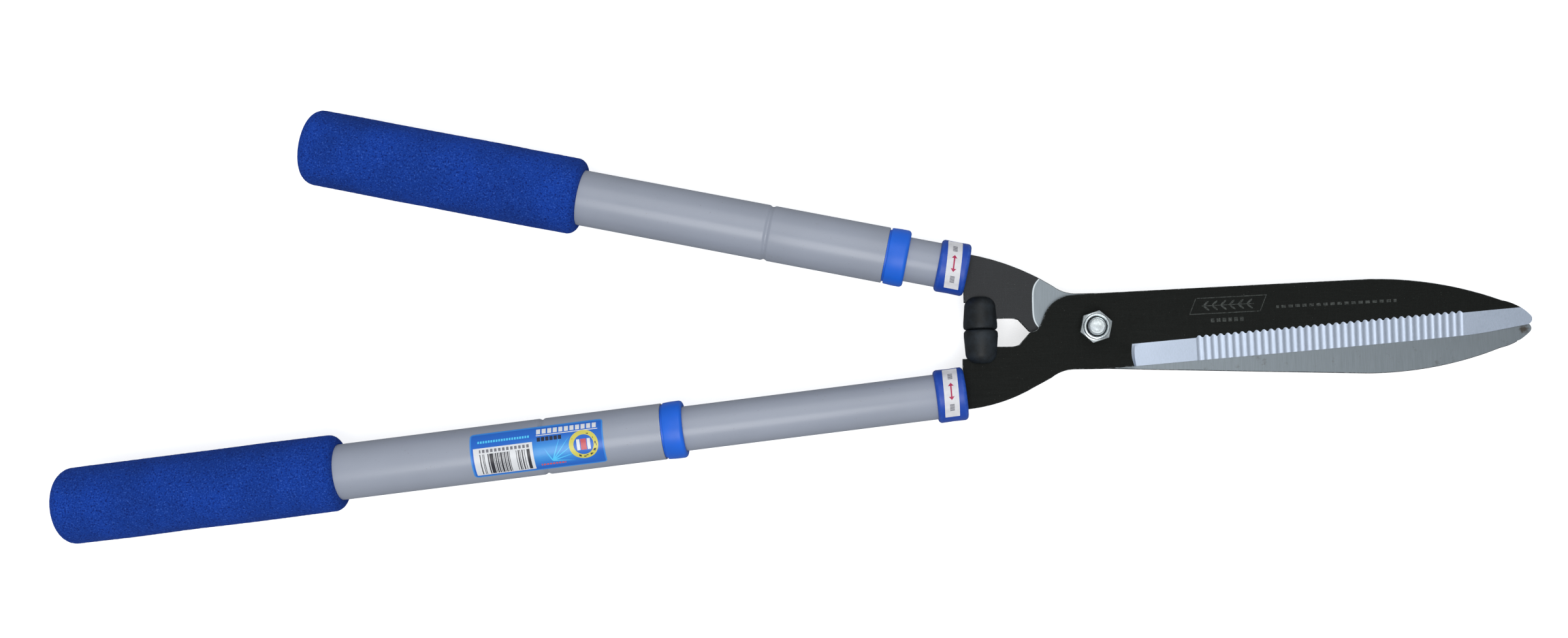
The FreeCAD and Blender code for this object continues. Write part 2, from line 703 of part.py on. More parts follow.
def bumper(handle):
    """Build the rubber stop that sits on the plate's stub and meets its twin when the blades close."""
    body = new_body(handle + "_bumper")
    profile = new_sketch(body, "profile", "XZ_Plane")
    dome = rounded("Dim.stop_length", "Dim.stop_radius", "Dim.stop_dome", -1, -1)
    edge = rounded("0", "Dim.stop_radius", "Dim.stop_edge", 1, -1)
    outline(profile, ("0", "0"), [
        (edge[2],),
        (edge[1], edge[0]),
        (dome[0],),
        (dome[1], dome[2]),
        (("Dim.stop_length", "0"),),
        (("0", "0"),),
    ])
    revolve(body, "rubber", profile)
    if handle == "lower":
        side = -1
        face = "(Dim.stop_meet - Dim.stop_gap / 2)"
    else:
        side = 1
        face = "(2 * Dim.blade_middle - Dim.stop_meet - Dim.stop_gap / 2)"
    depth = "%s - Dim.%s_stop_tip" % (face, handle)
    step = "%s - Dim.notch_floor_up" % face
    slot = new_sketch(body, "slot_outline", "XY_Plane")
    rectangle(slot, (depth, "-Dim.stop_width / 2"), ("2 * Dim.stop_length", "Dim.stop_width / 2"))
    cut(body, "slot", slot, "Dim.plate_thickness", both=True)
    notch = new_sketch(body, "notch_outline", "XY_Plane")
    rectangle(notch, (step, "0"), ("2 * Dim.stop_length", "%d * 2 * Dim.stop_radius" % -side))
    cut(body, "notch", notch, "Dim.plate_thickness", both=True)
    body.Placement.Rotation = FreeCAD.Rotation(FreeCAD.Vector(0, 0, 1), 90 * side)
    body.setExpression(".Placement.Base.x", "Dim.stop_middle")
    body.setExpression(".Placement.Base.y", "Dim.stop_meet + %d * Dim.stop_gap / 2" % side)
    body.setExpression(".Placement.Base.z", "%d * Dim.plate_thickness / 2" % -side)
    return body


# ---------------------------------------------------------------- assembly and output

def build_all():
    """Build every piece and return them in the order of assembly."""
    pieces = [
        blade_plate("front_blade", "lower"),
        blade_plate("rear_blade", "upper"),
        pivot_bolt(),
        pivot_nut(),
        flat_ring("nut_insert", "Dim.insert_radius", "Dim.bolt_radius",
                  "Dim.plate_thickness + Dim.nut_height + Dim.collar_height - Dim.insert_height",
                  "Dim.insert_height"),
        flat_ring("pivot_washer", "Dim.washer_radius", "Dim.bolt_radius + Dim.pivot_clearance",
                  "-(Dim.plate_thickness + Dim.washer_thickness)", "Dim.washer_thickness"),
    ]
    for handle in HANDLES:
        pieces += [
            bumper(handle),
            ferrule(handle),
            wrap(handle + "_twist_label", handle, "Dim.label_start", "Dim.label_width", "Dim.ferrule_radius",
                 "Dim.label_span", "Dim.%s_label_turn" % handle),
            tang_plug(handle),
            tang_pin(handle),
            inner_tube(handle),
            lock_plug(handle),
            lock_ring(handle),
            guide_collar(handle),
            outer_tube(handle),
            end_plug(handle),
            foam_grip(handle),
        ]
    pieces.append(wrap("product_sticker", "lower", "Dim.sticker_start", "Dim.sticker_length",
                       "Dim.outer_radius", "Dim.sticker_span", "Dim.sticker_turn"))
    return pieces


def check(pieces):
    """Stop if any object failed to recompute or any piece is not a sound solid."""
    for item in DOC.Objects:
        if "Invalid" in item.State or "Error" in item.State:
            raise RuntimeError("%s did not recompute: %s" % (item.Label, item.State))
    for piece in pieces:
        if piece.Shape.isNull() or not piece.Shape.isValid() or not piece.Shape.Solids:
            raise RuntimeError("%s is not a sound solid" % piece.Label)


def export(pieces):
    """Write each piece to its own STEP file and print its size and volume."""
    os.makedirs("parts", exist_ok=True)
    for piece in pieces:
        piece.Shape.exportStep("parts/%s.step" % piece.Label)
        box = piece.Shape.BoundBox
        print("%-20s %d solid  %8.1f x %6.1f x %6.1f mm  %9.1f mm3" % (
            piece.Label, len(piece.Shape.Solids), box.XLength, box.YLength, box.ZLength, piece.Shape.Volume))


fill_sheet()
PIECES = build_all()
DOC.recompute()
check(PIECES)
export(PIECES)
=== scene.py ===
"""The looks of a pair of telescopic hedge shears, dressed on their packed design.

Every length is in metres and every place is in the design's own frame: +X runs from the pivot to the blade
tips, +Y points to the upper handle and +Z is the pivot bolt's axis.  Each sub-assembly is a class that builds
its own meshes, each finish is a class that makes one material, and main() puts them together.
"""
import json
import logging
import math
from collections.abc import Callable, Sequence
from dataclasses import dataclass, field
from enum import Enum

import bmesh
import bpy
from bpy.types import Material, Node, NodeSocket, Object
from mathutils import Euler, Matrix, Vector, noise
from mathutils.geometry import delaunay_2d_cdt


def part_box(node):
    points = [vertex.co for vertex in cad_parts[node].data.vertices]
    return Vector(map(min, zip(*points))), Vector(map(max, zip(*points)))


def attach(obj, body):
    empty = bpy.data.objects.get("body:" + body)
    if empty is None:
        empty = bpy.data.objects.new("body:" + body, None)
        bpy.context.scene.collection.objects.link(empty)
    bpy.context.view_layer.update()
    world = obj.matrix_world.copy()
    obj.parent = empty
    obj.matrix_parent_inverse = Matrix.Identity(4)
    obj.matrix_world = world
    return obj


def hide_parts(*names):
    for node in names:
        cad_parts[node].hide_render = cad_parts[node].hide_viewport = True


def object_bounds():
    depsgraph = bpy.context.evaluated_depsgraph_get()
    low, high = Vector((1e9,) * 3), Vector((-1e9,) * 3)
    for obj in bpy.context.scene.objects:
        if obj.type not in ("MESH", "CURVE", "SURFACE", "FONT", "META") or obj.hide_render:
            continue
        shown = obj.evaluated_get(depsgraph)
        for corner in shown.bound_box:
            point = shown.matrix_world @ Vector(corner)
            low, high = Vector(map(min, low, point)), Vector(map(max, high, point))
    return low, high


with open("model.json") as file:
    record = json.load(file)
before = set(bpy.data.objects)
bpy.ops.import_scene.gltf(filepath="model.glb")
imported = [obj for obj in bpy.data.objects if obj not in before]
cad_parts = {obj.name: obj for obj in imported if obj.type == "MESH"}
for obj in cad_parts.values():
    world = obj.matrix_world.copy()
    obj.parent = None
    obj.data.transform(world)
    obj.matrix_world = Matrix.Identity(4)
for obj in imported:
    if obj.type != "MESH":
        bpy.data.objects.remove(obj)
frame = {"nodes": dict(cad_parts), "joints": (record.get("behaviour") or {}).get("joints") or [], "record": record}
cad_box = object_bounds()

LOG = logging.getLogger("hedge_shears")
WRAP_MAP = "Wrap"
UP = Vector((0.0, 0.0, 1.0))

Point = tuple[float, float]
Colour = tuple[float, float, float]
Value = float | NodeSocket
Swell = Callable[[float, float, float], float]


class Side(Enum):
    """The two levers, named as their nodes are."""

    LOWER = "lower"
    UPPER = "upper"


class Skin(Enum):
    """The material places on a blade."""

    BLACK = 0
    GROUND = 1
    SLIDING = 2
    WORN = 3


# ---------------------------------------------------------------- material recipes

def linear(colour: Colour) -> tuple[float, float, float, float]:
    """Turn a display colour into the renderer's linear one.

    Args:
        colour: red, green and blue from 0 to 255, as a screen shows them.

    Returns:
        The linear colour with full alpha.
    """
    shares = [part / 255 for part in colour]
    toe, knee = 12.92, 0.04045
    parts = [share / toe if share < knee else ((share + 0.055) / 1.055) ** 2.4 for share in shares]
    return parts[0], parts[1], parts[2], 1.0


class Recipe:
    """A material's node tree, put together one node at a time."""

    def __init__(self, name: str) -> None:
        """Start a material with a shader and an output.

        Args:
            name: the material's name.
        """
        self.material: Material = bpy.data.materials.new(name)
        self.material.use_nodes = True
        self.tree = self.material.node_tree
        self.tree.nodes.clear()
        self.shader = self.node("ShaderNodeBsdfPrincipled")
        self.output = self.node("ShaderNodeOutputMaterial")
        self.feed(self.output.inputs["Surface"], self.shader.outputs["BSDF"])

    def node(self, kind: str, **settings: object) -> Node:
        """Add a node and set its properties.

        Args:
            kind: the node's type.
            settings: property names and values.

        Returns:
            The new node.
        """
        made = self.tree.nodes.new(kind)
        for key, value in settings.items():
            setattr(made, key, value)
        return made

    def feed(self, socket: NodeSocket, value: object) -> None:
        """Link a socket to another socket, or set it to a constant."""
        if isinstance(value, NodeSocket):
            self.tree.links.new(value, socket)
        else:
            socket.default_value = value

    def set(self, **values: object) -> None:
        """Feed the shader's inputs, named with underscores for spaces."""
        for key, value in values.items():
            self.feed(self.shader.inputs[key.replace("_", " ")], value)

    def place(self) -> NodeSocket:
        """Return the piece's own coordinates in metres."""
        return self.node("ShaderNodeTexCoord").outputs["Object"]

    def wrap(self) -> NodeSocket:
        """Return the wrapped coordinates of a turned piece: along its axis and round its girth."""
        return self.node("ShaderNodeUVMap", uv_map=WRAP_MAP).outputs["UV"]

    def stretch(self, vector: NodeSocket, scale: Sequence[float], turn: float = 0.0) -> NodeSocket:
        """Scale coordinates by a different amount each way, after a turn about Z."""
        mapping = self.node("ShaderNodeMapping")
        self.feed(mapping.inputs["Vector"], vector)
        mapping.inputs["Scale"].default_value = scale
        mapping.inputs["Rotation"].default_value = (0.0, 0.0, turn)
        return mapping.outputs["Vector"]

    def parts(self, vector: NodeSocket) -> tuple[NodeSocket, NodeSocket, NodeSocket]:
        """Return a vector's X, Y and Z."""
        split = self.node("ShaderNodeSeparateXYZ")
        self.feed(split.inputs[0], vector)
        return split.outputs[0], split.outputs[1], split.outputs[2]

    def clouds(self, vector: NodeSocket, scale: float, detail: float = 3.0, rough: float = 0.5) -> NodeSocket:
        """Return smooth noise about one half, with a scale in waves a metre."""
        made = self.node("ShaderNodeTexNoise")
        self.feed(made.inputs["Vector"], vector)
        made.inputs["Scale"].default_value = scale
        made.inputs["Detail"].default_value = detail
        made.inputs["Roughness"].default_value = rough
        return made.outputs["Fac"]

    def pores(self, vector: NodeSocket, scale: float) -> NodeSocket:
        """Return the distance to the nearest of many scattered points."""
        made = self.node("ShaderNodeTexVoronoi")
        self.feed(made.inputs["Vector"], vector)
        made.inputs["Scale"].default_value = scale
        return made.outputs["Distance"]

    def maths(self, operation: str, first: Value, second: Value = 0.0) -> NodeSocket:
        """Return the result of one sum on one or two values."""
        made = self.node("ShaderNodeMath", operation=operation)
        self.feed(made.inputs[0], first)
        self.feed(made.inputs[1], second)
        return made.outputs[0]

    def span(self, value: Value, low: float, high: float, start: float = 0.0, end: float = 1.0) -> NodeSocket:
        """Map a value from low..high to start..end, held at both ends."""
        made = self.node("ShaderNodeMapRange")
        self.feed(made.inputs["Value"], value)
        for name, number in (("From Min", low), ("From Max", high), ("To Min", start), ("To Max", end)):
            made.inputs[name].default_value = number
        return made.outputs["Result"]

    def blend(self, share: Value, first: object, second: object) -> NodeSocket:
        """Mix two colours, where a share of one is all of the second."""
        made = self.node("ShaderNodeMix", data_type="RGBA")
        self.feed(made.inputs[0], share)
        self.feed(made.inputs[6], first)
        self.feed(made.inputs[7], second)
        return made.outputs[2]

    def bump(self, height: NodeSocket, depth: float, strength: float = 1.0) -> None:
        """Give the shader a bumped normal whose relief is depth metres."""
        made = self.node("ShaderNodeBump")
        made.inputs["Strength"].default_value = strength
        made.inputs["Distance"].default_value = depth
        self.feed(made.inputs["Height"], height)
        self.set(Normal=made.outputs["Normal"])


@dataclass(frozen=True)
class Finish:
    """What every finish has: a name and a main colour."""

    name: str
    colour: Colour

    def make(self) -> Material:
        """Build the material; each finish has its own way."""
        raise NotImplementedError


@dataclass(frozen=True)
class Enamel(Finish):
    """Sprayed grey enamel with a soft gloss, faint cloudiness, specks and rubbed dirt."""

    name: str = "grey_enamel"
    colour: Colour = (151, 157, 171)
    dirt: Colour = (112, 108, 98)
    roughness: float = 0.32

    def make(self) -> Material:
        """Build the enamel.

        Returns:
            The material.
        """
        mix = Recipe(self.name)
        place = mix.place()
        cloud = mix.clouds(place, 22.0, 4.0)
        shade = mix.blend(mix.span(cloud, 0.3, 0.7), linear(self.colour), linear(scaled(self.colour, 1.04)))
        specks = mix.span(mix.clouds(place, 900.0, 1.0), 0.74, 0.78)
        rubbed = mix.span(mix.clouds(mix.stretch(place, (1.0, 3.0, 3.0)), 14.0, 6.0, 0.7), 0.66, 0.82, 0.0,
                          0.45)
        soiled = mix.blend(mix.maths("MAXIMUM", mix.maths("MULTIPLY", specks, 0.35), rubbed), shade,
                           linear(self.dirt))
        mix.set(Base_Color=soiled, Roughness=mix.span(cloud, 0.2, 0.8, self.roughness, self.roughness + 0.12))
        mix.set(Specular_IOR_Level=0.5, Coat_Weight=0.15, Coat_Roughness=0.2)
        peel = mix.clouds(place, 420.0, 2.0)
        mix.bump(peel, 0.00003, 0.35)
        return mix.material


@dataclass(frozen=True)
class Foam(Finish):
    """Blue open-cell foam: speckled pores, lighter cell walls and faint dark blotches."""

    name: str = "blue_foam"
    colour: Colour = (22, 65, 163)
    pore: Colour = (10, 34, 108)
    fibre: Colour = (66, 106, 198)

    def make(self) -> Material:
        """Build the foam.

        Returns:
            The material.
        """
        mix = Recipe(self.name)
        place = mix.place()
        grain = mix.clouds(place, 1100.0, 2.0, 0.6)
        cells = mix.pores(place, 1300.0)
        blotch = mix.clouds(place, 38.0, 3.0)
        base = mix.blend(mix.span(blotch, 0.35, 0.7), linear(self.colour), linear(scaled(self.colour, 0.86)))
        dark = mix.blend(mix.span(grain, 0.47, 0.33), base, linear(self.pore))
        light = mix.blend(mix.span(grain, 0.58, 0.74, 0.0, 0.75), dark, linear(self.fibre))
        mix.set(Base_Color=light, Roughness=0.95, Specular_IOR_Level=0.15)
        mix.set(Sheen_Weight=0.12, Sheen_Roughness=0.6, Sheen_Tint=linear(self.fibre))
        relief = mix.maths("ADD", mix.maths("MULTIPLY", cells, 0.6), grain)
        mix.bump(relief, 0.00035, 0.8)
        return mix.material


@dataclass(frozen=True)
class MouldedPlastic(Finish):
    """Injection-moulded plastic with a fine satin grain and paler edges: partly rubbed wear, partly a painted edge
    highlight.
    """

    name: str = "blue_plastic"
    colour: Colour = (36, 92, 206)
    # The paler edge colour stands for rubbed wear and for a painted edge highlight together.
    rubbed: Colour = (88, 132, 226)
    roughness: float = 0.38
    wear: float = 0.5

    def make(self) -> Material:
        """Build the plastic.

        Returns:
            The material.
        """
        mix = Recipe(self.name)
        place = mix.place()
        cloud = mix.clouds(place, 60.0, 3.0)
        body = mix.blend(mix.span(cloud, 0.3, 0.7), linear(self.colour), linear(scaled(self.colour, 0.93)))
        # Convex edges found by Pointiness are made paler: partly rubbed wear, partly a painted edge highlight.
        raised = mix.node("ShaderNodeNewGeometry").outputs["Pointiness"]
        patches = mix.span(mix.clouds(place, 260.0, 4.0, 0.7), 0.4, 0.62)
        edges = mix.maths("MULTIPLY", mix.span(raised, 0.51, 0.56), patches)
        mix.set(Base_Color=mix.blend(mix.maths("MULTIPLY", edges, self.wear), body, linear(self.rubbed)))
        mix.set(Roughness=mix.span(cloud, 0.2, 0.8, self.roughness, self.roughness + 0.1))
        mix.set(Specular_IOR_Level=0.5)
        mix.bump(mix.clouds(place, 1500.0, 2.0), 0.00002, 0.4)
        return mix.material


@dataclass(frozen=True)
class Rubber(Finish):
    """Dull black rubber with a dusty, faintly blue bloom; its lighter patches are also a painted sheen."""

    name: str = "black_rubber"
    colour: Colour = (20, 24, 27)
    bloom_and_sheen: Colour = (46, 55, 64)

    def make(self) -> Material:
        """Build the rubber.

        Returns:
            The material.
        """
        mix = Recipe(self.name)
        place = mix.place()
        cloud = mix.clouds(place, 90.0, 5.0, 0.65)
        # Noise patches of lighter blue-grey: dusty bloom, and partly a painted sheen.
        mix.set(Base_Color=mix.blend(mix.span(cloud, 0.42, 0.75, 0.0, 0.7), linear(self.colour),
                                     linear(self.bloom_and_sheen)))
        mix.set(Roughness=mix.span(cloud, 0.3, 0.7, 0.45, 0.62), Specular_IOR_Level=0.3)
        mix.bump(mix.clouds(place, 900.0, 3.0), 0.00005, 0.5)
        return mix.material


@dataclass(frozen=True)
class Zinc(Finish):
    """Bright zinc plating with a rippled, slightly smoky reflection."""

    name: str = "zinc_plate"
    colour: Colour = (224, 232, 233)
    smoke: Colour = (176, 184, 190)
    roughness: float = 0.18

    def make(self) -> Material:
        """Build the plating.

        Returns:
            The material.
        """
        mix = Recipe(self.name)
        place = mix.place()
        cloud = mix.clouds(place, 420.0, 3.0, 0.6)
        mix.set(Base_Color=mix.blend(mix.span(cloud, 0.35, 0.7), linear(self.colour), linear(self.smoke)))
        mix.set(Metallic=1.0, Roughness=mix.span(cloud, 0.3, 0.7, self.roughness, self.roughness + 0.16))
        mix.bump(mix.clouds(place, 500.0, 2.0), 0.00006, 0.5)
        return mix.material


@dataclass(frozen=True)
class GroundSteel(Finish):
    """Bare ground steel with the wheel's fine scratches across the blade."""

    name: str = "ground_steel"
    colour: Colour = (174, 185, 202)
    streak: Colour = (160, 171, 187)
    roughness: float = 0.4
    metal: float = 0.55
    lay: float = 0.0

    def scratches(self, mix: Recipe, place: NodeSocket) -> NodeSocket:
        """Return noise drawn out across the blade."""
        return mix.clouds(mix.stretch(place, (1.0, 0.035, 1.0), self.lay), 2600.0, 3.0, 0.7)

    def make(self) -> Material:
        """Build the steel.

        Returns:
            The material.
        """
        mix = Recipe(self.name)
        place = mix.place()
        fine = self.scratches(mix, place)
        cloud = mix.clouds(place, 45.0, 4.0)
        tone = mix.maths("ADD", mix.maths("MULTIPLY", fine, 0.75), mix.maths("MULTIPLY", cloud, 0.25))
        mix.set(Base_Color=mix.blend(mix.span(tone, 0.36, 0.66), linear(self.streak), linear(self.colour)))
        mix.set(Metallic=self.metal,
                Roughness=mix.span(fine, 0.25, 0.75, self.roughness - 0.05, self.roughness + 0.1))
        mix.bump(fine, 0.00002, 0.35)
        return mix.material


@dataclass(frozen=True)
class BlackOxide(Finish):
    """Blackened steel: dense brownish black over a fine brushed grain."""

    name: str = "black_oxide"
    colour: Colour = (13, 15, 13)
    grain: Colour = (32, 35, 33)
    roughness: float = 0.5
    gloss: float = 0.1
    wear: float = 0.0

    def make(self) -> Material:
        """Build the blackening.

        Returns:
            The material.
        """
        mix = Recipe(self.name)
        place = mix.place()
        mix.set(Base_Color=self.tone(mix, place), Specular_IOR_Level=self.gloss)
        self.brush(mix, place)
        return mix.material

    def tone(self, mix: Recipe, place: NodeSocket) -> NodeSocket:
        """Return the black's colour with its grain, dust and worn spots.

        Args:
            mix: the recipe to add to.
            place: the piece's coordinates.

        Returns:
            The colour socket.
        """
        along = mix.clouds(mix.stretch(place, (0.05, 1.0, 1.0)), 1500.0, 3.0, 0.7)
        across = mix.clouds(mix.stretch(place, (1.0, 0.07, 1.0)), 1100.0, 2.0, 0.6)
        fine = mix.clouds(place, 1800.0, 3.0, 0.7)
        grain = mix.maths("MAXIMUM", mix.span(along, 0.52, 0.85), mix.span(across, 0.56, 0.9))
        grain = mix.maths("ADD", mix.maths("MULTIPLY", grain, 0.35), mix.span(fine, 0.35, 0.75, 0.0, 0.5))
        black = mix.blend(grain, linear(self.colour), linear(self.grain))
        dust = mix.span(mix.clouds(place, 1400.0, 1.0), 0.76, 0.8, 0.0, 0.4)
        dusted = mix.blend(dust, black, linear((120, 122, 118)))
        patches = mix.span(mix.clouds(place, 500.0, 5.0, 0.75), 0.5, 0.6, 0.0, self.wear)
        return mix.blend(patches, dusted, linear((138, 142, 144))) if self.wear else dusted

    def brush(self, mix: Recipe, place: NodeSocket) -> None:
        """Give the shader its brushed gloss and relief."""
        brushed = mix.clouds(mix.stretch(place, (0.06, 1.0, 1.0)), 1300.0, 3.0, 0.7)
        mix.set(Roughness=mix.span(brushed, 0.25, 0.75, self.roughness, self.roughness + 0.14))
        mix.bump(brushed, 0.00002, 0.3)


@dataclass(frozen=True)
class MarkedOxide(BlackOxide):
    """The front blade's outer face: black oxide with a faint, plain etched sprig, frame and dashes."""

    name: str = "marked_black_oxide"
    etch: Colour = (84, 88, 86)
    frame_middle: Point = (0.0745, 0.0087)
    frame_half: Point = (0.0195, 0.0044)
    frame_lean: float = 0.45
    spine_slope: float = math.radians(2.0)
    line_width: float = 0.00022
    leaf_count: int = 6
    leaf_pitch: float = 0.0048
    dash_row: Point = (0.0740, 0.0004)
    dash_half: Point = (0.0095, 0.0011)
    line_row: Point = (0.1340, 0.0062)
    line_half: Point = (0.0330, 0.0008)

    def make(self) -> Material:
        """Build the blackening with its etched marks.

        Returns:
            The material.
        """
        mix = Recipe(self.name)
        place = mix.place()
        turned_place = mix.stretch(place, (1.0, 1.0, 1.0), -self.spine_slope)
        along, up, _ = mix.parts(turned_place)
        marks = self.frame_mark(mix, along, up)
        for mark in (self.sprig(mix, along, up),
                     self.dashes(mix, along, up, self.dash_row, self.dash_half, 310.0),
                     self.dashes(mix, along, up, self.line_row, self.line_half, 260.0)):
            marks = mix.maths("MAXIMUM", marks, mark)
        rubbed = mix.span(mix.clouds(place, 900.0, 4.0, 0.7), 0.3, 0.62)
        share = mix.maths("MULTIPLY", mix.maths("MULTIPLY", marks, rubbed), 0.8)
        mix.set(Base_Color=mix.blend(share, self.tone(mix, place), linear(self.etch)))
        mix.set(Specular_IOR_Level=self.gloss)
        self.brush(mix, place)
        return mix.material

    def frame_mark(self, mix: Recipe, along: NodeSocket, up: NodeSocket) -> NodeSocket:
        """Return the outline of a leaning frame.

        Args:
            mix: the recipe to add to.
            along: distance along the spine.
            up: distance across it.

        Returns:
            One on the frame's line and nought elsewhere.
        """
        rise = mix.maths("SUBTRACT", up, self.frame_middle[1])
        lean = mix.maths("MULTIPLY", rise, self.frame_lean)
        run = mix.maths("SUBTRACT", mix.maths("SUBTRACT", along, self.frame_middle[0]), lean)
        edge_run = mix.maths("SUBTRACT", mix.maths("ABSOLUTE", run), self.frame_half[0])
        edge_rise = mix.maths("SUBTRACT", mix.maths("ABSOLUTE", rise), self.frame_half[1])
        outside = mix.maths("MAXIMUM", edge_run, edge_rise)
        return mix.maths("LESS_THAN", mix.maths("ABSOLUTE", outside), self.line_width)

    def sprig(self, mix: Recipe, along: NodeSocket, up: NodeSocket) -> NodeSocket:
        """Return a row of small leaves on a stalk inside the frame."""
        run = mix.maths("SUBTRACT", along, self.frame_middle[0])
        rise = mix.maths("SUBTRACT", up, self.frame_middle[1])
        cell = mix.maths("SUBTRACT", mix.maths("FRACT", mix.maths("DIVIDE", run, self.leaf_pitch)), 0.5)
        height = mix.maths("SUBTRACT", mix.maths("ABSOLUTE", rise), 0.0014)
        lean = mix.maths("SUBTRACT", mix.maths("MULTIPLY", cell, self.leaf_pitch), height)
        wide = mix.maths("POWER", mix.maths("DIVIDE", lean, 0.0008), 2.0)
        tall = mix.maths("POWER", mix.maths("DIVIDE", height, 0.0013), 2.0)
        leaf = mix.maths("LESS_THAN", mix.maths("ADD", wide, tall), 1.0)
        stalk = mix.maths("LESS_THAN", mix.maths("ABSOLUTE", rise), self.line_width)
        inside = mix.maths("LESS_THAN", mix.maths("ABSOLUTE", run), self.leaf_count * self.leaf_pitch / 2)
        return mix.maths("MULTIPLY", mix.maths("MAXIMUM", leaf, stalk), inside)

    def dashes(self, mix: Recipe, along: NodeSocket, up: NodeSocket, middle: Point, half: Point,
               pitch: float) -> NodeSocket:
        """Return a row of even dashes.

        Args:
            mix: the recipe to add to.
            along: distance along the spine.
            up: distance across it.
            middle: the row's middle.
            half: half the row's length and height.
            pitch: dashes a metre.

        Returns:
            One on a dash and nought elsewhere.
        """
        run = mix.maths("LESS_THAN", mix.maths("ABSOLUTE", mix.maths("SUBTRACT", along, middle[0])), half[0])
        rise = mix.maths("LESS_THAN", mix.maths("ABSOLUTE", mix.maths("SUBTRACT", up, middle[1])), half[1])
        dash = mix.maths("LESS_THAN", mix.maths("FRACT", mix.maths("MULTIPLY", along, pitch)), 0.62)
        return mix.maths("MULTIPLY", mix.maths("MULTIPLY", run, rise), dash)


@dataclass(frozen=True)
class SlidingFace(BlackOxide):
    """The inner face of a blade: ground bright where the blades rub, blackened on the tang behind."""

    name: str = "sliding_face"
    colour: Colour = (26, 28, 30)
    grain: Colour = (50, 53, 58)
    bare: Colour = (132, 140, 146)
    bare_streak: Colour = (122, 130, 135)
    stain: Colour = (70, 58, 44)
    stain_place: tuple[float, float, float] = (0.2365, -0.0050, 0.0)
    border: float = -0.0343
    border_middle: float = 0.0140
    border_half: float = 0.0131
    border_bow: float = 0.0029
    border_limit: float = 1.35
    roughness: float = 0.4

    def make(self) -> Material:
        """Build the face with its bare and black parts.

        Returns:
            The material.
        """
        mix = Recipe(self.name)
        place = mix.place()
        along, up, _ = mix.parts(place)
        off = mix.maths("DIVIDE", mix.maths("SUBTRACT", up, self.border_middle), self.border_half)
        bend = mix.maths("POWER", mix.maths("MINIMUM", mix.maths("ABSOLUTE", off), self.border_limit), 4.0)
        bow = mix.maths("MULTIPLY", bend, self.border_bow)
        past = mix.maths("SUBTRACT", mix.maths("SUBTRACT", along, self.border), bow)
        ground = mix.span(past, -0.0001, 0.0001)
        streaks = mix.clouds(mix.stretch(place, (1.0, 0.03, 1.0)), 2300.0, 3.0, 0.7)
        steel = mix.blend(mix.span(streaks, 0.36, 0.66), linear(self.bare_streak), linear(self.bare))
        # A near-white line painted along the grind's border: a painted highlight where the lip of the grind
        # catches the light.
        lip = mix.maths("MULTIPLY", mix.span(past, 0.0, 0.0004), mix.span(past, 0.0011, 0.0006))
        rim = mix.blend(mix.maths("MULTIPLY", lip, 0.75), steel, linear((214, 222, 226)))
        smear = mix.span(mix.clouds(place, 120.0, 5.0, 0.7), 0.6, 0.74, 0.0, 0.5)
        away = mix.node("ShaderNodeVectorMath", operation="DISTANCE")
        mix.feed(away.inputs[0], place)
        away.inputs[1].default_value = self.stain_place
        ragged = mix.maths("ADD", away.outputs["Value"],
                           mix.maths("MULTIPLY", mix.clouds(place, 700.0, 4.0), 0.004))
        tip_stain = mix.span(ragged, 0.0052, 0.0030, 0.0, 0.8)
        soiled = mix.blend(mix.maths("MAXIMUM", smear, tip_stain), rim, linear(self.stain))
        mix.set(Base_Color=mix.blend(ground, self.tone(mix, place), soiled))
        mix.set(Metallic=ground, Specular_IOR_Level=0.3)
        mix.set(Roughness=mix.span(streaks, 0.25, 0.75, self.roughness, self.roughness + 0.1))
        mix.bump(streaks, 0.00002, 0.3)
        return mix.material


@dataclass(frozen=True)
class PlainPlastic(Finish):
    """Unpainted moulded plastic of the pieces inside the tubes."""

    name: str = "inner_plastic"
    colour: Colour = (196, 198, 194)

    def make(self) -> Material:
        """Build the plastic.

        Returns:
            The material.
        """
        mix = Recipe(self.name)
        place = mix.place()
        cloud = mix.clouds(place, 70.0, 3.0)
        mix.set(Base_Color=mix.blend(mix.span(cloud, 0.3, 0.7), linear(self.colour),
                                     linear(scaled(self.colour, 0.9))))
        mix.set(Roughness=mix.span(cloud, 0.2, 0.8, 0.4, 0.55))
        mix.bump(mix.clouds(place, 900.0), 0.00002, 0.4)
        return mix.material


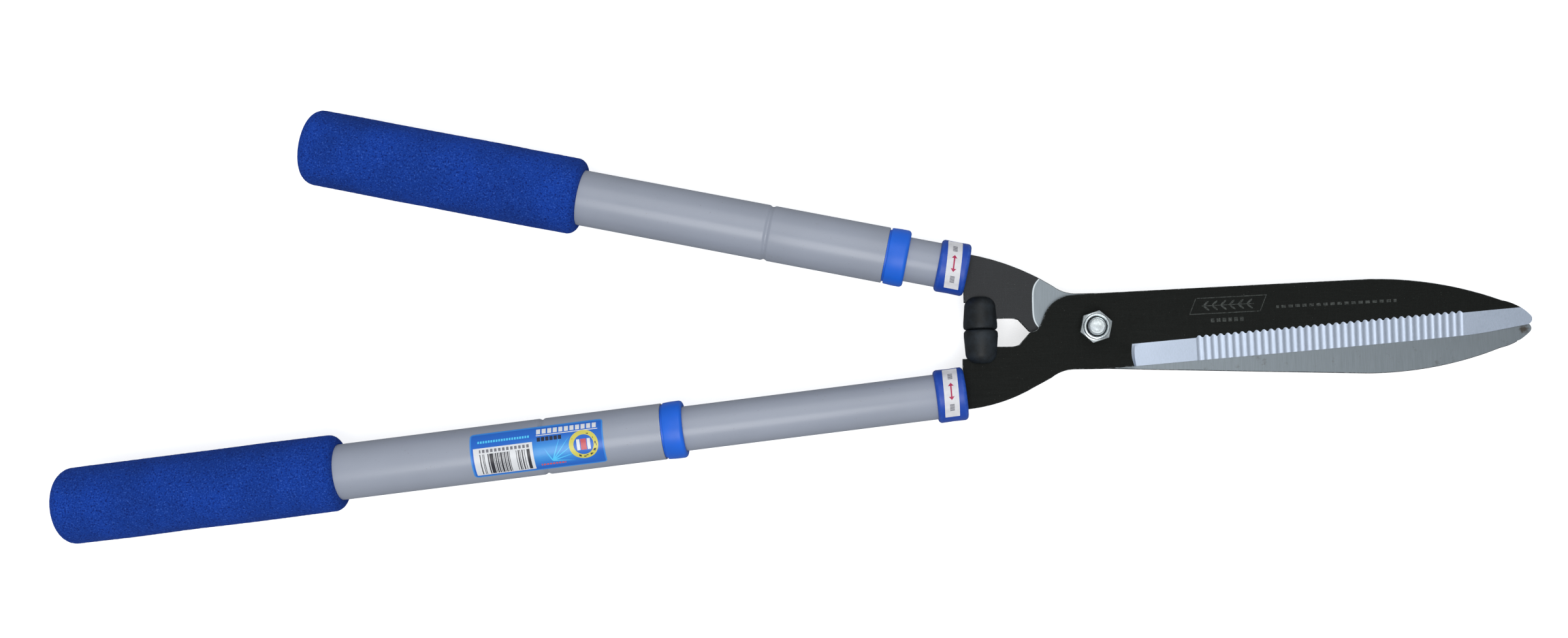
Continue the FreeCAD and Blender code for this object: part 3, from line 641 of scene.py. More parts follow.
@dataclass(frozen=True)
class Drawing:
    """Flat shapes drawn in millimetres on a wrapped sheet, each laid over what is there already."""

    mix: Recipe
    along: NodeSocket
    around: NodeSocket

    def box(self, low: Point, high: Point) -> NodeSocket:
        """Return a filled rectangle's mask."""
        sides = (("GREATER_THAN", self.along, low[0]), ("LESS_THAN", self.along, high[0]),
                 ("GREATER_THAN", self.around, low[1]), ("LESS_THAN", self.around, high[1]))
        mask: Value = 1.0
        for operation, value, limit in sides:
            mask = self.mix.maths("MULTIPLY", mask, self.mix.maths(operation, value, limit))
        return mask

    def both(self, first: NodeSocket, second: NodeSocket) -> NodeSocket:
        """Return where two masks meet."""
        return self.mix.maths("MULTIPLY", first, second)

    def distance(self, middle: Point) -> NodeSocket:
        """Return the distance from a point."""
        run = self.mix.maths("SUBTRACT", self.along, middle[0])
        rise = self.mix.maths("SUBTRACT", self.around, middle[1])
        squares = [self.mix.maths("MULTIPLY", part, part) for part in (run, rise)]
        return self.mix.maths("SQRT", self.mix.maths("ADD", *squares))

    def ring(self, middle: Point, inner: float, outer: float) -> NodeSocket:
        """Return a ring's mask."""
        away = self.distance(middle)
        return self.both(self.mix.maths("GREATER_THAN", away, inner),
                         self.mix.maths("LESS_THAN", away, outer))

    def cells(self, width: float, height: float, fill: float) -> NodeSocket:
        """Return a scatter of small blocks, such as print too fine to read.

        Args:
            width: a block's width.
            height: a block's height, or nought for full-height bars.
            fill: the share of blocks that are filled.

        Returns:
            The mask.
        """
        seeds = self.mix.node("ShaderNodeCombineXYZ")
        column = self.mix.maths("FLOOR", self.mix.maths("DIVIDE", self.along, width))
        self.mix.feed(seeds.inputs[0], column)
        if height:
            row = self.mix.maths("FLOOR", self.mix.maths("DIVIDE", self.around, height))
            self.mix.feed(seeds.inputs[1], row)
        chance = self.mix.node("ShaderNodeTexWhiteNoise")
        self.mix.feed(chance.inputs["Vector"], seeds.outputs[0])
        return self.mix.maths("LESS_THAN", chance.outputs["Value"], fill)

    def dashes(self, pitch: float, fill: float) -> NodeSocket:
        """Return even upright bars, a pitch apart, that fill a share of it."""
        return self.mix.maths("LESS_THAN",
                              self.mix.maths("FRACT", self.mix.maths("DIVIDE", self.along, pitch)), fill)

    def stroke(self, start: Point, end: Point, half: float) -> NodeSocket:
        """Return a straight line's mask, tapering to nothing at its end."""
        run, rise = end[0] - start[0], end[1] - start[1]
        length = math.hypot(run, rise)
        away_x = self.mix.maths("SUBTRACT", self.along, start[0])
        away_y = self.mix.maths("SUBTRACT", self.around, start[1])
        forward = self.mix.maths("ADD", self.mix.maths("MULTIPLY", away_x, run / length),
                                 self.mix.maths("MULTIPLY", away_y, rise / length))
        aside = self.mix.maths("SUBTRACT", self.mix.maths("MULTIPLY", away_x, rise / length),
                               self.mix.maths("MULTIPLY", away_y, run / length))
        room = self.mix.maths("MULTIPLY", self.mix.maths("SUBTRACT", length, forward), half / length)
        on_line = self.mix.maths("LESS_THAN", self.mix.maths("ABSOLUTE", aside), room)
        return self.both(on_line, self.mix.maths("GREATER_THAN", forward, 0.0))


@dataclass(frozen=True)
class TwistLabel(Finish):
    """White paper label: a red double arrow for the twist, and a block of fine print at each end."""

    name: str = "twist_label"
    colour: Colour = (226, 226, 230)
    arrow: Colour = (176, 40, 84)
    ink: Colour = (92, 92, 104)
    width: float = 8.2
    girth: float = 30.9
    bar_start: float = 7.6
    bar_pitch: float = 0.72
    bar_count: int = 6

    def make(self) -> Material:
        """Build the printed label.

        Returns:
            The material.
        """
        mix = Recipe(self.name)
        along, around, _ = mix.parts(mix.wrap())
        sheet = Drawing(mix, along, around)
        middle = (self.width / 2, self.girth / 2)
        paper = mix.blend(mix.span(mix.clouds(mix.place(), 300.0), 0.35, 0.7), linear(self.colour),
                          linear(scaled(self.colour, 0.95)))
        coloured = paper
        for sign in (-1, 1):
            for row in range(self.bar_count):
                centre = middle[1] + sign * (self.bar_start + row * self.bar_pitch)
                bar = sheet.box((middle[0] - 1.3, centre - 0.22), (middle[0] + 1.3, centre + 0.22))
                coloured = mix.blend(bar, coloured, linear(self.ink))
        shaft = sheet.box((middle[0] - 0.42, middle[1] - 3.4), (middle[0] + 0.42, middle[1] + 3.4))
        coloured = mix.blend(shaft, coloured, linear(self.arrow))
        for sign in (-1, 1):
            head = sheet.stroke((middle[0], middle[1] + sign * 3.0), (middle[0], middle[1] + sign * 5.0), 1.6)
            coloured = mix.blend(head, coloured, linear(self.arrow))
        mix.set(Base_Color=coloured, Roughness=0.5, Specular_IOR_Level=0.35)
        mix.bump(mix.clouds(mix.place(), 1200.0), 0.00002, 0.3)
        return mix.material


@dataclass(frozen=True)
class ProductSticker(Finish):
    """Glossy blue sticker with plain generic graphics: bars, blocks, a ring and a spray of leaf lines."""

    name: str = "product_sticker"
    colour: Colour = (28, 104, 204)
    pale: Colour = (66, 156, 230)
    border: Colour = (60, 142, 226)
    white: Colour = (226, 228, 232)
    ink: Colour = (44, 44, 52)
    yellow: Colour = (216, 206, 92)
    red: Colour = (206, 88, 98)
    length: float = 76.0
    girth: float = 27.4

    def make(self) -> Material:
        """Build the printed sticker.

        Returns:
            The material.
        """
        mix = Recipe(self.name)
        along, around, _ = mix.parts(mix.wrap())
        sheet = Drawing(mix, along, around)
        middle_rise = mix.maths("ABSOLUTE", mix.maths("SUBTRACT", around, self.girth * 0.42))
        centre_run = mix.maths("ABSOLUTE", mix.maths("SUBTRACT", along, self.length * 0.62))
        glow = mix.maths("MULTIPLY", mix.span(middle_rise, 9.0, 2.0), mix.span(centre_run, 26.0, 8.0))
        coloured = mix.blend(glow, linear(self.colour), linear(self.pale))
        inside = sheet.box((0.8, 0.8), (self.length - 0.8, self.girth - 0.8))
        coloured = mix.blend(inside, linear(self.border), coloured)
        for mask, tint in self.graphics(sheet):
            coloured = mix.blend(mask, coloured, linear(tint))
        mix.set(Base_Color=coloured, Roughness=0.3, Specular_IOR_Level=0.5)
        mix.bump(mix.clouds(mix.place(), 260.0), 0.00003, 0.3)
        return mix.material

    def graphics(self, sheet: Drawing) -> list[tuple[NodeSocket, Colour]]:
        """List what is printed, lowest layer first.

        Args:
            sheet: the drawing to work on.

        Returns:
            Pairs of mask and colour.
        """
        ring_middle = (64.5, 13.2)
        spray_root = (46.0, 6.0)
        layers = [(sheet.stroke(spray_root, tip, 0.42), scaled(self.pale, 1.3))
                  for tip in ((60.0, 15.0), (57.0, 19.0), (52.0, 20.5), (61.0, 9.5), (59.0, 4.5),
                              (42.0, 14.0))]
        panel = sheet.box((1.8, 1.6), (35.6, 18.2))
        layers.append((panel, self.white))
        bars = sheet.both(sheet.box((5.2, 2.2), (34.2, 14.6)), sheet.cells(0.36, 0.0, 0.5))
        layers.append((bars, self.ink))
        digits = sheet.both(sheet.box((5.2, 15.4), (34.4, 17.2)), sheet.dashes(2.3, 0.62))
        layers.append((digits, (120, 120, 128)))
        small_print = sheet.both(sheet.box((4.0, 20.9), (34.0, 22.3)), sheet.dashes(1.5, 0.66))
        layers.append((small_print, scaled(self.pale, 1.35)))
        heading = sheet.both(sheet.box((38.0, 22.3), (73.0, 25.4)), sheet.dashes(3.18, 0.72))
        layers.append((heading, self.white))
        layers.append((sheet.box((38.0, 21.2), (73.0, 21.7)), self.white))
        note = sheet.both(sheet.box((38.2, 17.9), (52.6, 20.3)), sheet.dashes(2.4, 0.8))
        layers.append((note, (24, 34, 60)))
        foot = sheet.both(sheet.box((39.0, 3.4), (53.0, 4.5)), sheet.dashes(1.75, 0.7))
        layers.append((foot, self.red))
        layers.append((sheet.ring(ring_middle, 0.0, 8.3), self.yellow))
        layers.append((sheet.both(sheet.ring(ring_middle, 6.3, 7.4), sheet.cells(1.3, 1.3, 0.22)), self.ink))
        layers.append((sheet.ring(ring_middle, 0.0, 5.7), self.colour))
        for start, end, tint in ((-3.9, -2.1, self.white), (-1.6, 1.6, self.red), (2.1, 3.9, self.white)):
            bar = sheet.box((ring_middle[0] + start, ring_middle[1] - 3.0),
                            (ring_middle[0] + end, ring_middle[1] + 3.2))
            layers.append((bar, tint))
        return layers


def scaled(colour: Colour, share: float) -> Colour:
    """Return a colour made lighter or darker by a share."""
    return tuple(min(part * share, 255.0) for part in colour)


# ---------------------------------------------------------------- mesh work

@dataclass(frozen=True)
class Axis:
    """A straight axis with its own up and sideways directions, for pieces turned about it."""

    origin: Vector
    along: Vector
    up: Vector = field(default_factory=lambda: UP.copy())

    @property
    def across(self) -> Vector:
        """The direction square to the axis and to up."""
        return self.up.cross(self.along).normalized()

    def at(self, distance: float, radius: float, angle: float) -> Vector:
        """Return the point at a distance along the axis, a radius from it and an angle from up."""
        side = self.up * math.cos(angle) + self.across * math.sin(angle)
        return self.origin + self.along * distance + side * radius

    def shifted(self, distance: float) -> "Axis":
        """Return the same axis with its origin moved along it."""
        return Axis(self.origin + self.along * distance, self.along, self.up)


@dataclass(frozen=True)
class Extent:
    """How far a node reaches along, out from and round an axis."""

    start: float
    end: float
    inner: float
    outer: float
    first_angle: float
    last_angle: float


def reach(node: str, axis: Axis) -> Extent:
    """Measure a node about an axis.

    Args:
        node: the node's name.
        axis: the axis to measure from.

    Returns:
        Its extent.
    """
    offsets = [vertex.co - axis.origin for vertex in frame["nodes"][node].data.vertices]
    alongs = [offset.dot(axis.along) for offset in offsets]
    sides = [(offset.dot(axis.up), offset.dot(axis.across)) for offset in offsets]
    radii = [math.hypot(*side) for side in sides]
    angles = [math.atan2(side[1], side[0]) for side in sides]
    return Extent(min(alongs), max(alongs), min(radii), max(radii), min(angles), max(angles))


def body_of(node: str) -> str:
    """Return the name of the body that a node belongs to."""
    groups = frame["record"]["behaviour"]["bodies"]
    return next(body for body, members in groups.items() if node in members)


def stand_in(piece: Object, *nodes: str) -> Object:
    """Let a piece stand for its nodes: it rides on their body and the nodes are hidden."""
    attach(piece, body_of(nodes[0]))
    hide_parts(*nodes)
    LOG.info("%s stands for %s with %d faces", piece.name, ", ".join(nodes), len(piece.data.polygons))
    return piece


def arc(middle: Point, radius: float, start: float, end: float, steps: int = 6) -> list[Point]:
    """Return points round part of a circle, with angles in degrees."""
    turns = [math.radians(start + (end - start) * step / steps) for step in range(steps + 1)]
    return [(middle[0] + radius * math.cos(turn), middle[1] + radius * math.sin(turn)) for turn in turns]


def filled_in(profile: Sequence[Point], step: float) -> list[Point]:
    """Return a profile with points added, so that none are further apart than a step."""
    dense = [profile[0]]
    for here, there in zip(profile, profile[1:]):
        count = max(1, math.ceil(math.dist(here, there) / step))
        dense += [(here[0] + (there[0] - here[0]) * i / count, here[1] + (there[1] - here[1]) * i / count)
                  for i in range(1, count + 1)]
    return dense


class Mould:
    """A mesh in the making: its points, faces, wrapped coordinates and skins."""

    def __init__(self) -> None:
        """Start empty."""
        self.points: list[Vector] = []
        self.faces: list[tuple[int, ...]] = []
        self.maps: list[list[Point]] = []
        self.skins: list[int] = []

    def add(self, point: Vector) -> int:
        """Add a point and return its index."""
        self.points.append(point)
        return len(self.points) - 1

    def face(self, corners: Sequence[int], wraps: Sequence[Point] | None = None, skin: int = 0) -> None:
        """Add a face, with the wrapped coordinates of its corners."""
        self.faces.append(tuple(corners))
        self.maps.append(list(wraps) if wraps else [(0.0, 0.0)] * len(corners))
        self.skins.append(skin)

    def cast(self, name: str, finishes: Sequence[Material], crease: float = 35.0) -> Object:
        """Make the piece.

        Args:
            name: the piece's name.
            finishes: its materials, in the order of the skins.
            crease: the angle in degrees past which an edge stays sharp.

        Returns:
            The new object, not yet riding on a body.
        """
        mesh = bpy.data.meshes.new(name)
        mesh.from_pydata([tuple(point) for point in self.points], [], self.faces)
        layer = mesh.uv_layers.new(name=WRAP_MAP)
        layer.data.foreach_set("uv", [part for wraps in self.maps for wrap in wraps for part in wrap])
        mesh.polygons.foreach_set("material_index", self.skins)
        for finish in finishes:
            mesh.materials.append(finish)
        tidy = bmesh.new()
        tidy.from_mesh(mesh)
        bmesh.ops.remove_doubles(tidy, verts=tidy.verts, dist=1e-7)
        bmesh.ops.recalc_face_normals(tidy, faces=tidy.faces)
        tidy.to_mesh(mesh)
        tidy.free()
        mesh.shade_smooth()
        mesh.set_sharp_from_angle(angle=math.radians(crease))
        piece = bpy.data.objects.new(name, mesh)
        bpy.context.scene.collection.objects.link(piece)
        return piece


def turned(name: str, profile: Sequence[Point], axis: Axis, finishes: Sequence[Material], steps: int = 128,
           ring: bool = False, swell: Swell | None = None,
           skins: Callable[[int], int] | None = None) -> Object:
    """Turn a profile about an axis.

    Args:
        name: the piece's name.
        profile: points of distance along the axis and radius; a radius of nought closes an end.
        axis: the axis.
        finishes: the piece's materials.
        steps: faces round the girth.
        ring: whether the profile's last point joins its first.
        swell: what to add to the radius at a distance, angle and radius.
        skins: which material each stretch of the profile has, by its number.

    Returns:
        The piece.
    """
    mould = Mould()
    rows: list[list[int]] = []
    for distance, radius in profile:
        if radius < 1e-9:
            rows.append([mould.add(axis.at(distance, 0.0, 0.0))] * (steps + 1))
            continue
        row = []
        for step in range(steps):
            angle = 2 * math.pi * step / steps - math.pi
            bulge = swell(distance, angle, radius) if swell else 0.0
            row.append(mould.add(axis.at(distance, radius + bulge, angle)))
        rows.append(row + row[:1])
    count = len(profile)
    for number in range(count if ring else count - 1):
        below, above = rows[number], rows[(number + 1) % count]
        skin = skins(number) if skins else 0
        for step in range(steps):
            corners = [below[step], below[step + 1], above[step + 1], above[step]]
            angles = [step, step + 1, step + 1, step]
            ends = [profile[number][0]] * 2 + [profile[(number + 1) % count][0]] * 2
            pairs = [(corner, (end, turn / steps)) for corner, end, turn in zip(corners, ends, angles)]
            kept = [pair for place, pair in enumerate(pairs) if pair[0] not in corners[:place]]
            mould.face([corner for corner, _ in kept], [wrap for _, wrap in kept], skin)
    return mould.cast(name, finishes)


def carve(piece: Object, low: Vector, high: Vector, axis: Axis) -> None:
    """Cut a box out of a piece.

    Args:
        piece: the piece to cut.
        low: the box's low corner: along, across and up from the axis's origin.
        high: its high corner.
        axis: the axis that the box is square to.
    """
    cutter_mould = Mould()
    corners = [Vector((x, y, z)) for x in (low.x, high.x) for y in (low.y, high.y) for z in (low.z, high.z)]
    for corner in corners:
        cutter_mould.add(axis.origin + axis.along * corner.x + axis.across * corner.y + axis.up * corner.z)
    for quad in ((0, 1, 3, 2), (4, 6, 7, 5), (0, 4, 5, 1), (2, 3, 7, 6), (0, 2, 6, 4), (1, 5, 7, 3)):
        cutter_mould.face(quad)
    cutter = cutter_mould.cast(piece.name + "_cutter", [])
    boolean = piece.modifiers.new("slot", "BOOLEAN")
    boolean.object = cutter
    boolean.operation = "DIFFERENCE"
    boolean.solver = "EXACT"
    bpy.context.view_layer.update()
    cut_mesh = bpy.data.meshes.new_from_object(piece.evaluated_get(bpy.context.evaluated_depsgraph_get()))
    piece.modifiers.clear()
    piece.data = cut_mesh
    bpy.data.objects.remove(cutter)
    piece.data.set_sharp_from_angle(angle=math.radians(35.0))


# ---------------------------------------------------------------- blades

def flat_loops(node: str, height: float) -> list[list[Point]]:
    """Return the outlines of a node's flat face: the outer one first, then its holes.

    Args:
        node: the node's name.
        height: the face's height.

    Returns:
        Closed loops of points, longest first.
    """
    mesh, grain = frame["nodes"][node].data, 1e-6
    return sorted(joined(flat_edges(mesh, height, grain), grain), key=girth, reverse=True)


def flat_edges(mesh: bpy.types.Mesh, height: float, grain: float) -> dict[tuple, list[tuple]]:
    """Return the directed edges that bound a flat face, from each start to its ends."""
    counted: set[tuple] = set()
    for polygon in mesh.polygons:
        spots = [mesh.vertices[index].co for index in polygon.vertices]
        if any(abs(spot.z - height) > grain for spot in spots):
            continue
        keys = [(round(spot.x / grain), round(spot.y / grain)) for spot in spots]
        for here, there in zip(keys, keys[1:] + keys[:1]):
            if (there, here) in counted:
                counted.remove((there, here))
            else:
                counted.add((here, there))
    found: dict[tuple, list[tuple]] = {}
    for here, there in sorted(counted):
        found.setdefault(here, []).append(there)
    return found


def joined(edges: dict[tuple, list[tuple]], grain: float) -> list[list[Point]]:
    """Join directed edges into closed loops."""
    loops = []
    while edges:
        start = next(iter(edges))
        loop, here = [], start
        while True:
            loop.append((here[0] * grain, here[1] * grain))
            ends = edges[here]
            there = ends.pop()
            if not ends:
                del edges[here]
            here = there
            if here == start:
                break
        loops.append(loop)
    return loops


def girth(loop: Sequence[Point]) -> float:
    """Return a loop's length."""
    return sum(math.dist(here, there) for here, there in zip(loop, [*loop[1:], loop[0]]))


def area(loop: Sequence[Point]) -> float:
    """Return a loop's signed area, above nought where it runs to the left."""
    pairs = zip(loop, [*loop[1:], loop[0]])
    return sum(here[0] * there[1] - there[0] * here[1] for here, there in pairs) / 2


def softened(loop: Sequence[Point], corner: float = 22.0, step: float = 0.0012,
             straight: float = 1.0) -> list[Point]:
    """Smooth a loop's round stretches with a spline and leave its corners sharp.

    Args:
        loop: the closed loop.
        corner: the turn in degrees past which a point is a corner.
        step: the longest run between two points on a round stretch.
        straight: the turn in degrees below which a point lies on a straight run.

    Returns:
        The loop with more points.
    """
    count = len(loop)

    def turn(place: int) -> float:
        before, here, after = loop[place - 1], loop[place % count], loop[(place + 1) % count]
        first = math.atan2(here[1] - before[1], here[0] - before[0])
        second = math.atan2(after[1] - here[1], after[0] - here[0])
        return math.degrees(abs((second - first + math.pi) % (2 * math.pi) - math.pi))

    smooth = []
    for place in range(count):
        here, there = Vector(loop[place]), Vector(loop[(place + 1) % count])
        smooth.append(tuple(here))
        run = (there - here).length
        bends = [turn(place), turn((place + 1) % count)]
        if max(bends) < straight or run < 2 * step:
            continue
        chord = there - here
        tangents = []
        for bend, near, far in zip(bends, (loop[place - 1], here), (there, loop[(place + 2) % count])):
            reach_ahead = Vector(far) - Vector(near)
            sharp = bend > corner or bend < straight
            tangents.append(chord.copy() if sharp else reach_ahead.normalized() * run)
        pieces = math.ceil(run / step)
        for number in range(1, pieces):
            share = number / pieces
            blend = hermite(here, there, tangents[0], tangents[1], share)
            smooth.append(tuple(blend))
    return smooth


def hermite(start: Vector, end: Vector, leave: Vector, arrive: Vector, share: float) -> Vector:
    """Return a point on the cubic that joins two points with given tangents."""
    square, cube = share ** 2, share ** 3
    return (start * (2 * cube - 3 * square + 1) + leave * (cube - 2 * square + share)
            + end * (3 * square - 2 * cube) + arrive * (cube - square))


def between(chain: Sequence[Point], run: float) -> float:
    """Return a chain's height at a run; the chain's runs grow from its first point to its last."""
    for here, there in zip(chain, chain[1:]):
        if run <= there[0] + 1e-12:
            width = there[0] - here[0]
            share = 0.0 if width < 1e-12 else (run - here[0]) / width
            return here[1] + (there[1] - here[1]) * max(0.0, min(1.0, share))
    return chain[-1][1]


@dataclass
class Blade:
    """One blade: a stamped plate with rounded rims, a ground bevel, a row of flutes and its tang."""

    side: Side
    heel: Point = (0.0215, -0.0222)
    edge_angle: float = math.radians(4.48)
    land: float = 0.0004
    bevel_width: float = 0.0125
    bevel_slope: float = math.tan(math.radians(13.93))
    flute_start: float = 0.0373
    flute_pitch: float = 0.003985
    flute_count: int = 37
    flute_radius: float = 0.0042
    flute_depth: float = 0.0003
    ramp_length: float = 0.0016
    ramp_bow: float = 0.0009
    rim: float = 0.00032
    bevel_rows: int = 12
    flank_out: float = -0.0695
    flank_low: float = -0.0240
    flank_high: float = -0.0190
    flank_rise: float = 0.0040

    def __post_init__(self) -> None:
        """Read the plate's outline, holes and thickness from the frame."""
        self.node = "front_blade" if self.side is Side.LOWER else "rear_blade"
        low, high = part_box(self.node)
        self.thickness = high.z - low.z
        self.middle = (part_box("front_blade")[1].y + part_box("rear_blade")[0].y) / 2
        loops = [self.drawn(loop) for loop in flat_loops(self.node, 0.0)]
        outline = softened([self.flanked(point) for point in loops[0]])
        start = min(range(len(outline)), key=lambda place: math.dist(outline[place], self.heel))
        self.outline = outline[start:] + outline[:start]
        self.heel = self.outline[0]
        self.holes = loops[1:]

    def flanked(self, point: Point) -> Point:
        """Raise the tang's flank into the rubber stop, so that no gap shows between the two."""
        behind = point[0] < self.flank_out and point[1] > self.flank_low
        below = point[1] < self.flank_high
        return (point[0], point[1] + self.flank_rise) if behind and below else point

    def drawn(self, loop: Sequence[Point]) -> list[Point]:
        """Bring a loop into the plate's drawing, where the spine is up and the loop runs to the left."""
        if self.side is Side.UPPER:
            loop = [(point[0], 2 * self.middle - point[1]) for point in loop]
        return list(loop) if area(loop) > 0 else list(reversed(loop))

    def spot(self, point: Point, height: float) -> Vector:
        """Return a drawn point's place in the frame at a height above the sliding plane."""
        if self.side is Side.UPPER:
            return Vector((point[0], 2 * self.middle - point[1], -height))
        return Vector((point[0], point[1], height))

    def to_edge(self, point: Point) -> Point:
        """Return a point's distance along and across the cutting edge."""
        run, rise = point[0] - self.heel[0], point[1] - self.heel[1]
        cos, sin = math.cos(self.edge_angle), math.sin(self.edge_angle)
        return run * cos + rise * sin, rise * cos - run * sin

    def from_edge(self, run: float, rise: float) -> Point:
        """Return the drawn point at a distance along and across the cutting edge."""
        cos, sin = math.cos(self.edge_angle), math.sin(self.edge_angle)
        return self.heel[0] + run * cos - rise * sin, self.heel[1] + run * sin + rise * cos

    def flute(self, run: float) -> float:
        """Return how deep the flutes are cut at a distance along the edge."""
        number = round((run - self.flute_start) / self.flute_pitch)
        number = max(0, min(self.flute_count - 1, number))
        away = run - self.flute_start - number * self.flute_pitch
        inside = self.flute_radius ** 2 - away ** 2
        if inside <= 0:
            return 0.0
        return max(0.0, math.sqrt(inside) - (self.flute_radius - self.flute_depth))

    def ground(self, run: float, rise: float) -> float:
        """Return the bevel's height, with its flutes and the ramp where the wheel came in."""
        plane = self.land + rise * self.bevel_slope - self.flute(run)
        share = max(0.0, min(1.0, run / self.ramp_length))
        ramp = math.sqrt(max(0.0, 1 - share) ** 1.6)
        return min(self.thickness, plane + (self.thickness - plane) * ramp)

    def bevel_end(self, high_chain: Sequence[Point]) -> float:
        """Return the distance along the edge at which the bevel's upper line runs out of the plate."""
        for here, there in zip(high_chain, high_chain[1:]):
            if here[1] >= self.bevel_width > there[1]:
                share = (here[1] - self.bevel_width) / (here[1] - there[1])
                return here[0] + (there[0] - here[0]) * share
        return high_chain[-1][0]

    def columns(self, low_chain: Sequence[Point], high_chain: Sequence[Point], ending: float) -> list[float]:
        """List where the bevel's mesh has a column, close together on the ramp, the flutes and the nose."""
        furthest = low_chain[-1][0]
        first = self.flute_start - self.flute_pitch / 2
        last = first + self.flute_count * self.flute_pitch
        runs = [self.ramp_length * step / 8 for step in range(9)]
        runs += [first + self.flute_pitch * step / 16 for step in range(16 * self.flute_count + 1)]
        runs += [self.ramp_length + (first - self.ramp_length) * step / 16 for step in range(1, 16)]
        runs += [last + (furthest - last) * step / 30 for step in range(1, 31)]
        runs += [point[0] for point in (*low_chain, *high_chain) if last < point[0] < furthest]
        kept = []
        for run in sorted(runs):
            if (not kept or run - kept[-1] > 2e-5) and abs(run - ending) > 2e-5:
                kept.append(run)
        kept[-1] = furthest
        return sorted([*kept, ending])

    def build(self, finishes: Sequence[Material]) -> Object:
        """Build the blade's mesh.

        Args:
            finishes: the black, ground, sliding and worn materials.

        Returns:
            The blade.
        """
        edged = [self.to_edge(point) for point in self.outline]
        nose = max(range(len(edged)), key=lambda place: edged[place][0])
        low_chain = edged[:nose + 1]
        high_chain = list(reversed(edged[nose:nose + 60]))
        low_chain = [low_chain[0]] + [point for point in low_chain[1:] if point[0] > 0]
        mould = Mould()
        lows, highs = [], []
        ending = self.bevel_end(high_chain)
        runs = self.columns(low_chain, high_chain, ending)
        for run in runs:
            line = self.bevel_width + self.flute(run) / self.bevel_slope
            high = line if run <= ending else between(high_chain, run)
            self.column(mould, run, between(low_chain, run), high, lows, highs)
        for place in range(len(lows) - 1):
            self.strip(mould, highs[place], highs[place + 1])
        clear = self.bevel_width + 1.5 * self.rim
        spine = next(place for place in range(nose, len(edged)) if edged[place][1] > clear)
        self.close(mould, lows, highs, runs.index(ending), self.outline[spine:])
        return mould.cast(self.node + "_plate", finishes, crease=18.0)

    def column(self, mould: Mould, run: float, low: float, high: float, lows: list, highs: list) -> None:
        """Add one column of the bevel's points and note its lowest and highest."""
        column = []
        for row in range(self.bevel_rows + 1):
            share = row / self.bevel_rows
            rise = low + (high - low) * share
            fade = max(0.0, 1 - run / (3 * self.ramp_length))
            moved = run - self.ramp_bow * math.sin(math.pi * share) * fade
            height = self.thickness if row == self.bevel_rows and high > low and self.meets_face(run, high) \
                else self.ground(run, rise)
            column.append(mould.add(self.spot(self.from_edge(moved, rise), height)))
        lows.append((self.from_edge(run, low), column))
        highs.append(column)

    def meets_face(self, run: float, high: float) -> bool:
        """Say whether the top of a column lies on the flat face."""
        return abs(high - self.bevel_width - self.flute(run) / self.bevel_slope) < 1e-9

    def strip(self, mould: Mould, here: Sequence[int], there: Sequence[int]) -> None:
        """Skin the bevel between two columns."""
        for row in range(self.bevel_rows):
            mould.face((here[row], there[row], there[row + 1], here[row + 1]), skin=Skin.GROUND.value)

    def close(self, mould: Mould, lows: list, highs: list, crossing: int, rest: Sequence[Point]) -> None:
        """Add the plate's flat faces, rims, walls and holes round the finished bevel.

        Args:
            mould: the mesh so far.
            lows: each column's lowest drawn point and its points.
            highs: each column's points.
            crossing: the first column whose top lies on the outline.
            rest: the outline from the crossing round to the heel.
        """
        inset = [self.inset(rest, place) for place in range(len(rest))]
        top_rows = self.rim_rows(mould, rest, inset, self.thickness, -1.0)
        bottom_rows = self.rim_rows(mould, rest, inset, 0.0, 1.0)
        self.bridge(mould, top_rows[0], bottom_rows[0], Skin.BLACK)
        for rows in (top_rows, bottom_rows):
            for outer, inner in zip(rows, rows[1:]):
                self.bridge(mould, outer, inner, Skin.WORN)
        edge_floor = [mould.add(self.spot(point, 0.0)) for point, _ in lows]
        for place in range(len(lows) - 1):
            corners = (edge_floor[place], edge_floor[place + 1], lows[place + 1][1][0], lows[place][1][0])
            mould.face(corners, skin=Skin.GROUND.value)
        nose_floor = []
        for place in range(crossing, len(highs)):
            top = mould.points[highs[place][-1]]
            nose_floor.append(mould.add(Vector((top.x, top.y, 0.0))))
        for place in range(len(nose_floor) - 1):
            above = highs[crossing + place][-1], highs[crossing + place + 1][-1]
            corners = (nose_floor[place + 1], nose_floor[place], above[0], above[1])
            mould.face(corners, skin=Skin.GROUND.value)
        face_loop = top_rows[-1] + highs[0] + [column[-1] for column in highs[1:crossing + 1]]
        floor_loop = bottom_rows[-1] + edge_floor + nose_floor[::-1][1:]
        self.seam(mould, top_rows, bottom_rows, highs, edge_floor, nose_floor, crossing)
        self.flat(mould, face_loop, self.thickness, Skin.BLACK)
        self.flat(mould, floor_loop, 0.0, Skin.SLIDING)
        for hole in self.holes:
            self.hole_wall(mould, hole)

    def seam(self, mould: Mould, top_rows: list, bottom_rows: list, highs: list, edge_floor: list,
             nose_floor: list, crossing: int) -> None:
        """Close the small gaps where the outline's rims meet the bevel, at the nose and at the heel."""
        nose_top = highs[crossing][-1]
        ladder = [row[0] for row in reversed(top_rows)] + [row[0] for row in bottom_rows]
        for here, there in zip(ladder, ladder[1:]):
            mould.face((nose_top, here, there), skin=Skin.WORN.value)
        mould.face((nose_top, bottom_rows[-1][0], nose_floor[0]), skin=Skin.WORN.value)
        heel_top = highs[0]
        ladder = [row[-1] for row in reversed(top_rows)] + [row[-1] for row in bottom_rows]
        for here, there in zip(ladder, ladder[1:]):
            mould.face((heel_top[0], there, here), skin=Skin.WORN.value)
        mould.face((heel_top[0], edge_floor[0], bottom_rows[-1][-1]), skin=Skin.WORN.value)

